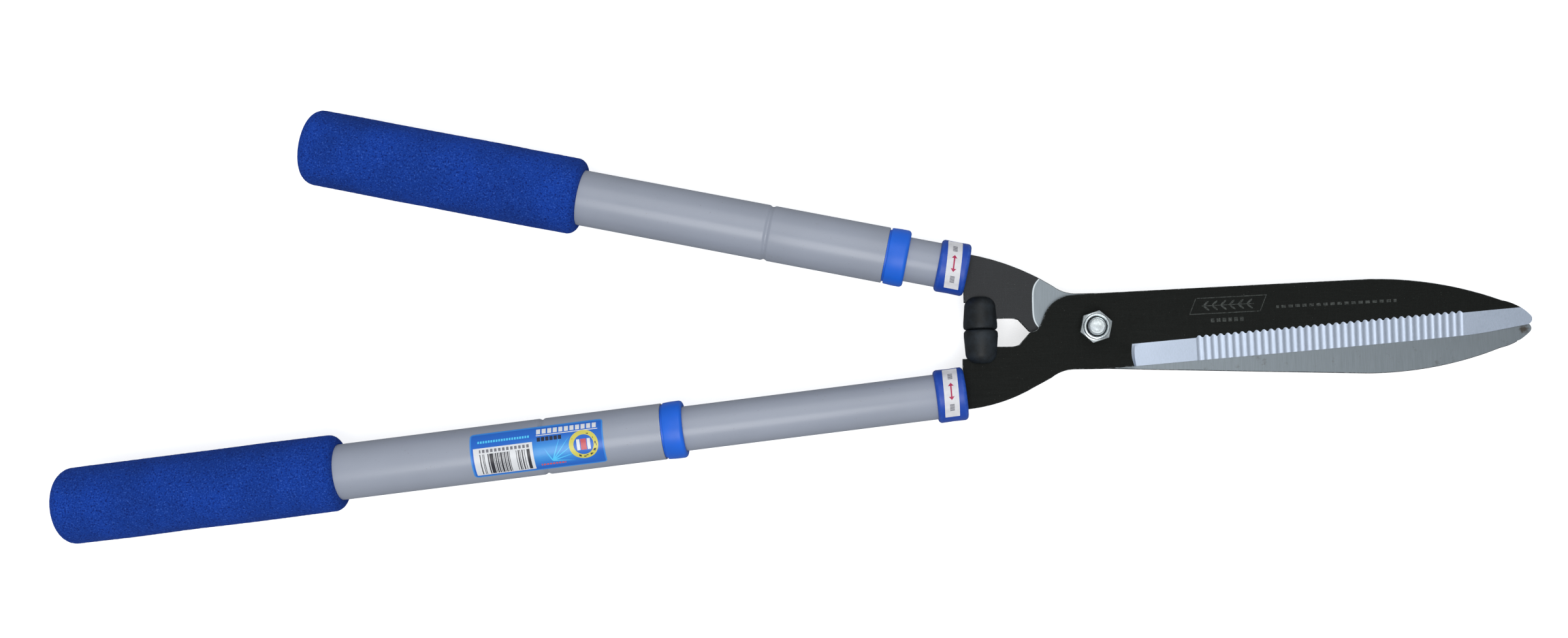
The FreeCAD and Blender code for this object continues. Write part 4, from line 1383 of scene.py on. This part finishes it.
    def inset(self, chain: Sequence[Point], place: int) -> Vector:
        """Return the inward move at a point of the outline that takes its rim in by one unit."""
        here = Vector(chain[place])
        before = Vector(chain[place - 1]) if place else here - (Vector(chain[1]) - here)
        after = Vector(chain[place + 1]) if place + 1 < len(chain) else here + (here - before)
        first, second = (here - before).normalized(), (after - here).normalized()
        normal = Vector((-first.y, first.x)) + Vector((-second.y, second.x))
        normal.normalize()
        facing = max(0.5, normal.dot(Vector((-first.y, first.x))))
        return normal / facing

    def rim_rows(self, mould: Mould, chain: Sequence[Point], inset: Sequence[Vector], height: float,
                 way: float) -> list[list[int]]:
        """Add the rows of points that round a rim, from the wall to the flat face.

        Args:
            mould: the mesh so far.
            chain: the outline.
            inset: the inward moves at its points.
            height: the flat face's height.
            way: the direction from the face into the plate.

        Returns:
            Rows of point indexes.
        """
        rows = []
        for inward, down in ((0.0, 1.0), (0.3, 0.3), (1.0, 0.0)):
            rows.append([mould.add(self.spot(tuple(Vector(point) + move * inward * self.rim),
                                             height + way * down * self.rim))
                         for point, move in zip(chain, inset)])
        return rows

    def bridge(self, mould: Mould, first: Sequence[int], second: Sequence[int], skin: Skin) -> None:
        """Skin the band between two rows of points."""
        for place in range(len(first) - 1):
            corners = (first[place], first[place + 1], second[place + 1], second[place])
            mould.face(corners, skin=skin.value)

    def flat(self, mould: Mould, loop: Sequence[int], height: float, skin: Skin) -> None:
        """Fill a flat face inside a loop of points, leaving the holes open."""
        outer = [Vector((mould.points[index].x, mould.points[index].y)) for index in loop]
        points, edges = list(outer), [(place, (place + 1) % len(outer)) for place in range(len(outer))]
        indexes = list(loop)
        for hole in self.holes:
            start = len(points)
            spots = [self.spot(point, height) for point in hole]
            points += [Vector((spot.x, spot.y)) for spot in spots]
            indexes += [mould.add(spot) for spot in spots]
            edges += [(start + place, start + (place + 1) % len(hole)) for place in range(len(hole))]
        made = delaunay_2d_cdt(points, edges, [], 1, 1e-9)
        gaps = [[self.spot(point, height).to_2d() for point in hole] for hole in self.holes]
        for triangle in made[2]:
            corners = [made[0][index] for index in triangle]
            middle = sum(corners, Vector((0.0, 0.0))) / len(corners)
            if any(within(middle, gap) for gap in gaps) or not within(middle, outer):
                continue
            sources = [indexes[made[3][index][0]] for index in triangle]
            mould.face(sources, skin=skin.value)

    def hole_wall(self, mould: Mould, hole: Sequence[Point]) -> None:
        """Line a hole through the plate."""
        top = [mould.add(self.spot(point, self.thickness)) for point in hole]
        bottom = [mould.add(self.spot(point, 0.0)) for point in hole]
        for place in range(len(hole)):
            after = (place + 1) % len(hole)
            mould.face((top[place], top[after], bottom[after], bottom[place]), skin=Skin.WORN.value)


def within(point: Vector, loop: Sequence[Vector]) -> bool:
    """Say whether a point lies inside a loop."""
    inside = False
    for here, there in zip(loop, [*loop[1:], loop[0]]):
        if (here.y > point.y) != (there.y > point.y):
            crossing = here.x + (point.y - here.y) * (there.x - here.x) / (there.y - here.y)
            inside = inside != (point.x < crossing)
    return inside


# ---------------------------------------------------------------- pivot

@dataclass
class Pivot:
    """The M10 bolt through both blades, with its washer and its locking nut."""

    flats: float = 0.016
    turn: float = math.radians(-18.0)
    steps: int = 144
    chamfer: float = math.tan(math.radians(30.0))
    bolt_radius: float = 0.005
    tip_round: float = 0.0014

    def __post_init__(self) -> None:
        """Set the pivot's axis."""
        self.axis = Axis(Vector((0.0, 0.0, 0.0)), UP.copy(), Vector((1.0, 0.0, 0.0)))

    def hexagon(self, angle: float) -> float:
        """Return the hexagon's radius at an angle."""
        sixth = math.pi / 3
        off = (angle - self.turn) % sixth - sixth / 2
        return self.flats / 2 / math.cos(off)

    def ringed(self, name: str, rings: Sequence[Callable[[float], Point]], finishes: Sequence[Material],
               loop: bool) -> Object:
        """Build a piece whose rings vary round its girth.

        Args:
            name: the piece's name.
            rings: each gives a height and a radius at an angle.
            finishes: the piece's materials.
            loop: whether the last ring joins the first.

        Returns:
            The piece.
        """
        mould = Mould()
        rows = []
        for ring in rings:
            angles = [self.turn + 2 * math.pi * step / self.steps for step in range(self.steps)]
            spots = [ring(angle) for angle in angles]
            rows.append([mould.add(self.axis.at(height, radius, angle))
                         for (height, radius), angle in zip(spots, angles)])
        pairs = list(zip(rows, rows[1:])) + ([(rows[-1], rows[0])] if loop else [])
        for below, above in pairs:
            for step in range(self.steps):
                after = (step + 1) % self.steps
                mould.face((below[step], below[after], above[after], above[step]))
        if not loop:
            mould.face(rows[0][::-1])
            mould.face(rows[-1])
        return mould.cast(name, finishes, crease=24.0)

    def hexagon_rings(self, low: float, high: float) -> list[Callable[[float], Point]]:
        """Return the rings of a hexagon whose corners are chamfered at both ends."""
        flat_radius = self.flats / 2 * 0.965

        def drop(angle: float) -> float:
            return max(0.0, self.hexagon(angle) - flat_radius) * self.chamfer

        return [
            lambda angle: (low, flat_radius),
            lambda angle: (low + drop(angle), self.hexagon(angle)),
            lambda angle: (high - drop(angle), self.hexagon(angle)),
            lambda angle: (high, flat_radius),
        ]

    def build(self, zinc: Material, nylon: Material) -> None:
        """Build the bolt, washer, nut and locking ring.

        Args:
            zinc: the plated finish.
            nylon: the locking ring's finish, near black as a painted shade in the gap round the bolt's end.
        """
        low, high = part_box("pivot_bolt")
        washer_low, washer_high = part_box("pivot_washer")
        nut_low, nut_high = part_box("pivot_nut")
        ring_low, ring_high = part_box("nut_insert")
        bolt = self.ringed("pivot_bolt_turned", self.bolt_rings(low.z, washer_low.z, high.z), [zinc], False)
        stand_in(bolt, "pivot_bolt")
        washer = turned("pivot_washer_stamped",
                        self.washer_profile(washer_low.z, washer_high.z, washer_high.x),
                        self.axis, [zinc], ring=True)
        stand_in(washer, "pivot_washer")
        nut = self.ringed("pivot_nut_pressed", self.nut_rings(nut_low.z, nut_high.z, ring_high.x, ring_low.z),
                          [zinc], True)
        stand_in(nut, "pivot_nut")
        # The locking ring is near black: a painted shade for the dark gap round the bolt's end.
        insert = turned("nut_insert_ring", self.insert_profile(ring_low.z, ring_high.z, ring_high.x),
                        self.axis,
                        [nylon], ring=True)
        stand_in(insert, "nut_insert")

    def bolt_rings(self, low: float, seat: float, high: float) -> list[Callable[[float], Point]]:
        """Return the bolt's rings, from its head to its domed end."""
        head = self.hexagon_rings(low, seat)
        shank = [(seat, self.bolt_radius), (high - self.tip_round, self.bolt_radius)]
        shank += [(high - self.tip_round * (1 - math.sin(turn)),
                   self.bolt_radius - 0.0016 * (1 - math.cos(turn)))
                  for turn in (math.radians(angle) for angle in (20, 45, 70))]
        shank += [(high - 0.00015, 0.0030), (high - 0.00003, 0.0018), (high, 0.0007)]
        return head + [lambda angle, place=place: place for place in shank]

    def washer_profile(self, low: float, high: float, outer: float) -> list[Point]:
        """Return the washer's section with its rolled outer corners."""
        soft, bore = 0.0004, self.bolt_radius + 0.00005
        return [(low, bore + soft / 2), *arc((low + soft, outer - soft), soft, 180, 90),
                *arc((high - soft, outer - soft), soft, 90, 0), (high, bore + soft / 2),
                (high - soft / 2, bore),
                (low + soft / 2, bore)]

    def nut_rings(
            self, low: float, high: float, pocket: float, seat: float) -> list[Callable[[float], Point]]:
        """Return the nut's rings: hexagon, shoulder, collar, its turned-in lip and the bore."""
        shoulder = high - 0.0026
        hexagon = self.hexagon_rings(low, shoulder)
        collar = [(shoulder + 0.0001, 0.00735), *arc((high - 0.0009, 0.0065), 0.0009, 90, 0, 5),
                  (high, 0.0061),
                  (high - 0.0005, 0.0057), (high - 0.0012, pocket), (seat, pocket),
                  (seat, self.bolt_radius + 0.0001),
                  (low, self.bolt_radius + 0.0001)]
        return hexagon + [lambda angle, place=place: place for place in collar]

    def insert_profile(self, low: float, high: float, outer: float) -> list[Point]:
        """Return the locking ring's section, sunk below the nut's lip."""
        top, slack = high - 0.0013, 0.00005
        return [(low + slack, self.bolt_radius + slack), (low + slack, outer - slack), (top, outer - slack),
                (top + 0.0003, outer - 0.0005), (top, self.bolt_radius + slack)]


# ---------------------------------------------------------------- handles

@dataclass(frozen=True)
class HandleFinishes:
    """The materials of a handle's pieces."""

    enamel: Material
    bare_rim: Material
    guide: Material
    ferrule: Material
    foam: Material
    rubber: Material
    label: Material


@dataclass
class Handle:
    """One telescopic handle: ferrule with its label, two tubes, guide collar, foam grip and rubber stop."""

    side: Side
    tube_wall: float = 0.001
    bead_place: float = 0.0683
    bead_half: float = 0.0021
    bead_depth: float = 0.0008
    rim_round: float = 0.00035
    ferrule_round: float = 0.0021
    foam_crown: float = 0.0004
    foam_grain: float = 0.00013
    foam_wave: float = 0.00022
    tang_half: float = 0.0092
    plate_thickness: float = 0.0035
    label_lift: float = 0.0005
    stop_half: float = 0.0065
    stop_taper: float = 0.0007

    def __post_init__(self) -> None:
        """Take the handle's axis from its twist joint, with its origin at the ferrule's front face."""
        joint = next(joint for joint in frame["joints"] if joint["name"] == self.side.value + "_twist")
        axis = Axis(Vector(joint["pos_m"]), Vector(joint["axis"]).normalized())
        self.axis = axis.shifted(reach(self.node("ferrule"), axis).start)

    def node(self, part: str) -> str:
        """Return the name of this handle's node for a part."""
        return self.side.value + "_" + part

    def size(self, part: str) -> Extent:
        """Measure one of this handle's nodes about its axis."""
        return reach(self.node(part), self.axis)

    def piece_name(self, part: str) -> str:
        """Return the name of this handle's finished piece for a part."""
        return self.side.value + "_" + part

    def build(self, finishes: HandleFinishes) -> None:
        """Build and dress every piece of the handle.

        Args:
            finishes: the materials to use.
        """
        self.build_inner_tube(finishes)
        self.build_outer_tube(finishes)
        self.build_guide(finishes)
        self.build_ferrule(finishes)
        self.build_label(finishes)
        self.build_foam(finishes)
        self.build_stop(finishes)

    def tube_profile(self, start: float, end: float, outer: float, bead: float | None) -> list[Point]:
        """Return a tube's closed section, with softened rims and a pressed bead.

        Args:
            start: where the tube starts along the axis.
            end: where it ends.
            outer: its outer radius.
            bead: where its bead lies, or None.

        Returns:
            The section, starting at the outer mouth.
        """
        soft, inner = self.rim_round, outer - self.tube_wall
        mouth = arc((start + soft, outer - soft), soft, 180, 90, 3)
        tail = [(end, outer), (end, inner)]
        outside: list[Point] = []
        inside: list[Point] = []
        if bead is not None:
            for step in range(-8, 9):
                share = step / 8
                dip = self.bead_depth * (0.5 + 0.5 * math.cos(math.pi * share))
                outside.append((bead + self.bead_half * share, outer - dip))
                inside.append((bead + self.bead_half * share, inner - dip))
        return [(start, inner), *mouth, *outside, *tail, *reversed(inside)]

    def build_inner_tube(self, finishes: HandleFinishes) -> None:
        """Build the thin inner tube."""
        size = self.size("inner_tube")
        profile = self.tube_profile(size.start, size.end, size.outer, None)
        tube = turned(self.piece_name("inner_tube_drawn"), profile, self.axis, [finishes.enamel], ring=True)
        stand_in(tube, self.node("inner_tube"))

    def build_outer_tube(self, finishes: HandleFinishes) -> None:
        """Build the outer tube, bare at its cut mouth."""
        size = self.size("outer_tube")
        profile = self.tube_profile(size.start, size.end, size.outer, size.start + self.bead_place)
        tube = turned(self.piece_name("outer_tube_drawn"), profile, self.axis,
                      [finishes.enamel, finishes.bare_rim], steps=160, ring=True,
                      skins=lambda number: 1 if number < 4 else 0)
        stand_in(tube, self.node("outer_tube"))

    def build_guide(self, finishes: HandleFinishes) -> None:
        """Build the guide collar with its rounded lip, waist and spigot."""
        size, tube = self.size("guide_collar"), self.size("outer_tube")
        lip, outer, bore = size.start, size.outer, size.inner
        shoulder = tube.start - 0.0010
        nose = 0.0022
        spigot = tube.outer - self.tube_wall - 0.00005
        profile = [(lip + 0.0003, bore), *arc((lip + nose * 0.55, outer - nose), nose * 0.55, 180, 150, 2),
                   *arc((lip + nose, outer - nose), nose, 160, 90, 8),
                   (lip + 0.0062, outer), (shoulder - 0.0008, outer - 0.00025),
                   *arc((shoulder - 0.0004, outer - 0.00075), 0.0004, 90, 0, 3), (shoulder, spigot),
                   (size.end, spigot), (size.end, bore)]
        collar = turned(self.piece_name("guide_collar_moulded"), profile, self.axis, [finishes.guide],
                        steps=160,
                        ring=True)
        stand_in(collar, self.node("guide_collar"))

    def build_ferrule(self, finishes: HandleFinishes) -> None:
        """Build the ferrule: rounded cup over the tube's end, slotted for the tang."""
        size, tube = self.size("ferrule"), self.size("inner_tube")
        soft, length, outer = self.ferrule_round, size.end, size.outer
        wall = tube.start - 0.00005
        bore = tube.outer + 0.00005
        profile = [(0.0, 0.0), (0.0, outer - soft - 0.001), *arc((soft, outer - soft), soft, 180, 90, 8),
                   (length * 0.5, outer - 0.00015), *arc((length - soft, outer - soft), soft, 90, 12, 8),
                   (length, bore + 0.0003), (length - 0.0003, bore), (wall, bore), (wall, 0.0)]
        ferrule = turned(self.piece_name("ferrule_moulded"), filled_in(profile, 0.0009), self.axis,
                         [finishes.ferrule], steps=128)
        half = self.plate_thickness / 2 + 0.00005
        carve(ferrule, Vector((-0.002, -self.tang_half - 0.00005, -half)),
              Vector((wall + 0.002, self.tang_half + 0.00005, half)), self.axis)
        stand_in(ferrule, self.node("ferrule"))

    def build_label(self, finishes: HandleFinishes) -> None:
        """Build the label wrapped on the ferrule."""
        turn, skew = (6.0, -0.05) if self.side is Side.LOWER else (19.0, 0.07)
        sheet = WrappedSheet(self.node("twist_label"), self.axis, self.label_lift, 0.0002, skew,
                             math.radians(turn))
        sheet.build(self.piece_name("twist_label_printed"), finishes.label)

    def build_foam(self, finishes: HandleFinishes) -> None:
        """Build the foam grip: closed, crowned heel, soft lip at the tube and a pitted skin."""
        size, tube = self.size("foam_grip"), self.size("outer_tube")
        outer, start, end = size.outer - 0.00035, size.start, size.end
        floor = end - 0.005
        bore = tube.outer + 0.00005
        heel, lip, dome = 0.0074, 0.0056, 0.0014
        skin = [*arc((start + lip, outer - lip), lip, 184, 90, 10),
                (start + lip + 0.04, outer + self.foam_crown * 0.4),
                ((start + end) / 2, outer + self.foam_crown * 0.2),
                (end - dome - heel - 0.03, outer + self.foam_crown * 0.5),
                *arc((end - dome - heel, outer - heel), heel, 90, 14, 12)]
        cap = [(end - dome * (radius / (outer - heel)) ** 2 * 0.9, radius)
               for radius in (0.0118, 0.0095, 0.007, 0.0045, 0.002)]
        profile = [(floor, 0.0), (floor, bore), (start + 0.0008, bore)]
        profile += filled_in([*skin, *cap, (end, 0.0)], 0.00085)
        grip = turned(self.piece_name("foam_grip_sleeve"), profile, self.axis, [finishes.foam], steps=176,
                      swell=self.foam_skin)
        stand_in(grip, self.node("foam_grip"))

    def foam_skin(self, distance: float, angle: float, radius: float) -> float:
        """Return how far the foam's skin stands out: slow waves and fine pits, and none in the bore."""
        if radius < 0.0163:
            return 0.0
        spot = self.axis.at(distance, radius, angle)
        wave = noise.noise(spot * 28.0)
        grain = noise.noise(spot * 620.0)
        return self.foam_wave * (wave - 0.4) + self.foam_grain * (grain - 0.6)

    def build_stop(self, finishes: HandleFinishes) -> None:
        """Build the rubber stop: domed outside, rounded where it meets its twin, slotted for the plate."""
        low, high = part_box(self.node("bumper"))
        way = -1.0 if self.side is Side.LOWER else 1.0
        meet = high.y if way < 0 else low.y
        middle = Vector(((low.x + high.x) / 2, meet, (low.z + high.z) / 2))
        axis = Axis(middle, Vector((0.0, way, 0.0)))
        length, radius = high.y - low.y, (high.z - low.z) / 2
        dome, edge = 0.0062, 0.0020
        tip = radius - self.stop_taper
        profile = [(0.0, 0.0), (0.0, radius - edge - 0.0003), *arc((edge, radius - edge), edge, 178, 92, 8),
                   (edge + 0.002, radius), *arc((length - dome, tip - dome), dome, 80, 8, 12),
                   (length, 0.002), (length, 0.0)]
        stop = turned(self.piece_name("stop_rubber"), filled_in(profile, 0.0009), axis, [finishes.rubber],
                      steps=96)
        self.slot_stop(stop, axis)
        stand_in(stop, self.node("bumper"))

    def slot_stop(self, stop: Object, axis: Axis) -> None:
        """Cut the stop's slot to the plate's stub, as deep as the stub reaches into it."""
        blade = Blade(self.side)
        stub = [blade.spot(point, 0.0) for point in blade.outline
                if abs(blade.spot(point, 0.0).x - axis.origin.x) < self.stop_half + 0.0004]
        depths = [(spot - axis.origin).dot(axis.along) for spot in stub]
        tip = min(depth for depth in depths if depth > 0)
        half = self.plate_thickness / 2 + 0.00003
        wide = self.stop_half + 0.00003
        carve(stop, Vector((tip - 0.00003, -wide, -half)), Vector((0.04, wide, half)), axis)
        blade_side = 1.0 if axis.across.x > 0 else -1.0
        corner = min(depth for depth in self.shoulder_depths(blade, axis))
        far = blade_side * 0.03
        carve(stop, Vector((corner - 0.00003, min(0.0, far), -half)), Vector((0.04, max(0.0, far), half)),
              axis)

    def shoulder_depths(self, blade: Blade, axis: Axis) -> list[float]:
        """Return how deep the plate's shoulder lies beside the stub."""
        near = axis.origin.x + self.stop_half + 0.0008
        spots = [blade.spot(point, 0.0) for point in blade.outline]
        beside = [spot for spot in spots if near - 0.0012 < spot.x < near + 0.0125]
        depths = [(spot - axis.origin).dot(axis.along) for spot in beside]
        return [depth for depth in depths if 0.004 < depth < 0.016] or [0.009]


@dataclass
class WrappedSheet:
    """A thin printed sheet wrapped on a round piece, its corners cut round and its ends a little lifted."""

    node: str
    axis: Axis
    lift: float
    corner: float
    skew: float = 0.0
    turn: float = 0.0
    columns: int = 48
    rows: int = 64

    def build(self, name: str, finish: Material) -> Object:
        """Build the sheet and let it stand for its node.

        Args:
            name: the piece's name.
            finish: its printed material.

        Returns:
            The sheet.
        """
        size = reach(self.node, self.axis)
        length, girth_angle = size.end - size.start, size.last_angle - size.first_angle
        arc_length = girth_angle * size.outer
        thickness = size.outer - size.inner
        mould = Mould()
        layers = []
        for height in (thickness, 0.00001):
            grid = []
            for column in range(self.columns + 1):
                line = []
                for row in range(self.rows + 1):
                    run, rise = self.cut_corner(column / self.columns * length, row / self.rows * arc_length,
                                                length, arc_length)
                    angle = size.last_angle - self.turn - rise / size.outer
                    radius = size.inner + height + self.raised(rise / arc_length)
                    slant = self.skew * (rise - arc_length / 2)
                    line.append(mould.add(self.axis.at(size.end - run + slant, radius, angle)))
                grid.append(line)
            layers.append(grid)
        self.skin(mould, layers, length, arc_length)
        return stand_in(mould.cast(name, [finish], crease=60.0), self.node)

    def cut_corner(self, run: float, rise: float, length: float, girth_length: float) -> Point:
        """Draw a point in, where it lies past the sheet's rounded corners."""
        if self.corner <= 0:
            return run, rise
        near_run = min(max(run, self.corner), length - self.corner)
        near_rise = min(max(rise, self.corner), girth_length - self.corner)
        away = math.hypot(run - near_run, rise - near_rise)
        reach_out = max(abs(run - near_run), abs(rise - near_rise))
        if away < 1e-12:
            return run, rise
        share = reach_out / away
        return near_run + (run - near_run) * share, near_rise + (rise - near_rise) * share

    def raised(self, share: float) -> float:
        """Return how far the sheet has lifted at a share of its girth."""
        end = max(0.0, abs(share - 0.5) * 2 - 0.82) / 0.18
        return self.lift * end ** 2

    def skin(self, mould: Mould, layers: Sequence[list[list[int]]], length: float, arc_length: float) -> None:
        """Skin both faces and the edges, with wrapped coordinates in millimetres."""
        outer, inner = layers
        scale = 1000.0

        def wrap(column: int, row: int) -> Point:
            return column / self.columns * length * scale, row / self.rows * arc_length * scale

        for column in range(self.columns):
            for row in range(self.rows):
                places = ((column, row), (column + 1, row), (column + 1, row + 1), (column, row + 1))
                wraps = [wrap(*place) for place in places]
                mould.face([outer[i][j] for i, j in places], wraps)
                mould.face([inner[i][j] for i, j in reversed(places)], wraps[::-1])
        rim = [(column, 0) for column in range(self.columns)]
        rim += [(self.columns, row) for row in range(self.rows)]
        rim += [(column, self.rows) for column in range(self.columns, 0, -1)]
        rim += [(0, row) for row in range(self.rows, 0, -1)]
        for here, there in zip(rim, rim[1:] + rim[:1]):
            corners = (outer[here[0]][here[1]], inner[here[0]][here[1]], inner[there[0]][there[1]],
                       outer[there[0]][there[1]])
            mould.face(corners, [wrap(*here), wrap(*here), wrap(*there), wrap(*there)])


# ---------------------------------------------------------------- stage

@dataclass(frozen=True)
class Stage:
    """The white table, the soft lights and the camera above it."""

    floor_size: float = 6.0
    floor_drop: float = 0.0002
    floor_glow: float = 0.58
    floor_bounce: tuple[float, float, float, float] = (0.32, 0.33, 0.34, 1.0)
    camera_place: tuple[float, float, float] = (-0.12403, -0.04907, 0.909)
    camera_tilt: tuple[float, float, float] = (3.5385, 3.2526, -0.8272)
    lens: float = 36.735
    sensor: float = 36.0

    def build(self) -> None:
        """Set up the whole stage."""
        self.build_floor()
        self.build_camera()
        self.build_lights()

    def build_floor(self) -> None:
        """Lay the floor just under the lowest point of the shears."""
        level = cad_box[0].z - self.floor_drop
        mould = Mould()
        half = self.floor_size / 2
        corners = [mould.add(Vector((x * half, y * half, level)))
                   for x, y in ((-1, -1), (1, -1), (1, 1), (-1, 1))]
        mould.face(corners)
        mix = Recipe("white_table")
        cloud = mix.clouds(mix.place(), 3.0)
        mix.set(Base_Color=mix.blend(cloud, linear((236, 237, 240)), linear((242, 243, 245))), Roughness=0.8)
        mix.set(Emission_Color=(1.0, 1.0, 1.0, 1.0), Emission_Strength=self.floor_glow)
        bounce = mix.node("ShaderNodeBsdfDiffuse")
        bounce.inputs["Color"].default_value = self.floor_bounce
        choice = mix.node("ShaderNodeMixShader")
        mix.feed(choice.inputs[0], mix.node("ShaderNodeLightPath").outputs["Is Camera Ray"])
        mix.feed(choice.inputs[1], bounce.outputs[0])
        mix.feed(choice.inputs[2], mix.shader.outputs[0])
        mix.feed(mix.output.inputs["Surface"], choice.outputs[0])
        floor = mould.cast("white_table", [mix.material])

    def build_camera(self) -> None:
        """Place the camera above the shears, looking down."""
        data = bpy.data.cameras.new("overhead_camera")
        data.sensor_width = self.sensor
        data.lens = self.lens
        data.clip_start = 0.05
        camera = bpy.data.objects.new("overhead_camera", data)
        camera.location = self.camera_place
        camera.rotation_euler = Euler([math.radians(turn) for turn in self.camera_tilt], "XYZ")
        bpy.context.scene.collection.objects.link(camera)
        bpy.context.scene.camera = camera

    def build_lights(self) -> None:
        """Light the room softly, with one window on the near side and a weaker one behind."""
        world = bpy.data.worlds.new("pale_room")
        world.use_nodes = True
        background = world.node_tree.nodes["Background"]
        background.inputs["Color"].default_value = (0.95, 0.98, 1.0, 1.0)
        background.inputs["Strength"].default_value = 0.46
        bpy.context.scene.world = world
        bpy.context.scene.view_settings.view_transform = "Standard"
        self.window("near_window", (-0.15, -0.75, 1.9), 1.1, 19.0)
        self.window("far_window", (0.1, 0.9, 1.8), 1.4, 9.0)

    def window(self, name: str, place: tuple[float, float, float], size: float, power: float) -> None:
        """Hang a square soft light that faces the pivot."""
        data = bpy.data.lights.new(name, "AREA")
        data.size = size
        data.energy = power
        light = bpy.data.objects.new(name, data)
        light.location = place
        light.rotation_euler = (-Vector(place)).to_track_quat("-Z", "Y").to_euler()
        bpy.context.scene.collection.objects.link(light)


# ---------------------------------------------------------------- assembly

def dress_blades() -> None:
    """Build both blades with their finishes."""
    ground = GroundSteel().make()
    worn = BlackOxide(name="worn_rim", colour=(40, 42, 42), wear=0.7).make()
    sliding = SlidingFace().make()
    front = Blade(Side.LOWER).build([MarkedOxide().make(), ground, sliding, worn])
    stand_in(front, "front_blade")
    rear = Blade(Side.UPPER).build([BlackOxide().make(), ground, sliding, worn])
    stand_in(rear, "rear_blade")


def dress_handles() -> None:
    """Build both handles and the sticker on the lower one."""
    finishes = HandleFinishes(
        enamel=Enamel().make(),
        bare_rim=Zinc(name="bare_tube_rim", colour=(200, 204, 208), roughness=0.3).make(),
        # The paler edges of the guide and ferrule are partly wear and partly a painted edge highlight.
        guide=MouldedPlastic(name="guide_plastic", colour=(10, 104, 230), rubbed=(70, 132, 238),
                             wear=0.25).make(),
        ferrule=MouldedPlastic(name="ferrule_plastic", colour=(14, 72, 182), rubbed=(96, 146, 232),
                               wear=0.85).make(),
        foam=Foam().make(),
        rubber=Rubber().make(),
        label=TwistLabel().make(),
    )
    for side in Side:
        Handle(side).build(finishes)
    axis = Handle(Side.LOWER).axis
    WrappedSheet("product_sticker", axis, 0.0, 0.0022).build("product_sticker_printed",
                                                             ProductSticker().make())


def dress_hidden() -> None:
    """Give the pieces inside the tubes their finishes."""
    plastic = PlainPlastic().make()
    steel = GroundSteel(name="pin_steel").make()
    hidden = {"tang_plug": plastic, "lock_plug": plastic, "lock_ring": plastic, "end_plug": plastic,
              "tang_pin": steel}
    for side in Side:
        for part, finish in hidden.items():
            node = frame["nodes"][side.value + "_" + part]
            node.material_slots[0].material = finish
            LOG.info("%s keeps its own shape in %s", node.name, finish.name)


def main() -> None:
    """Build the stage, then every sub-assembly."""
    logging.basicConfig(level=logging.INFO, format="%(message)s")
    Stage().build()
    dress_blades()
    # The nut's locking ring is coloured near black: a painted shade for the dark gap round the bolt's end.
    Pivot().build(Zinc().make(), PlainPlastic(name="nylon", colour=(20, 20, 26)).make())
    dress_handles()
    dress_hidden()


if __name__ == "__main__":
    main()
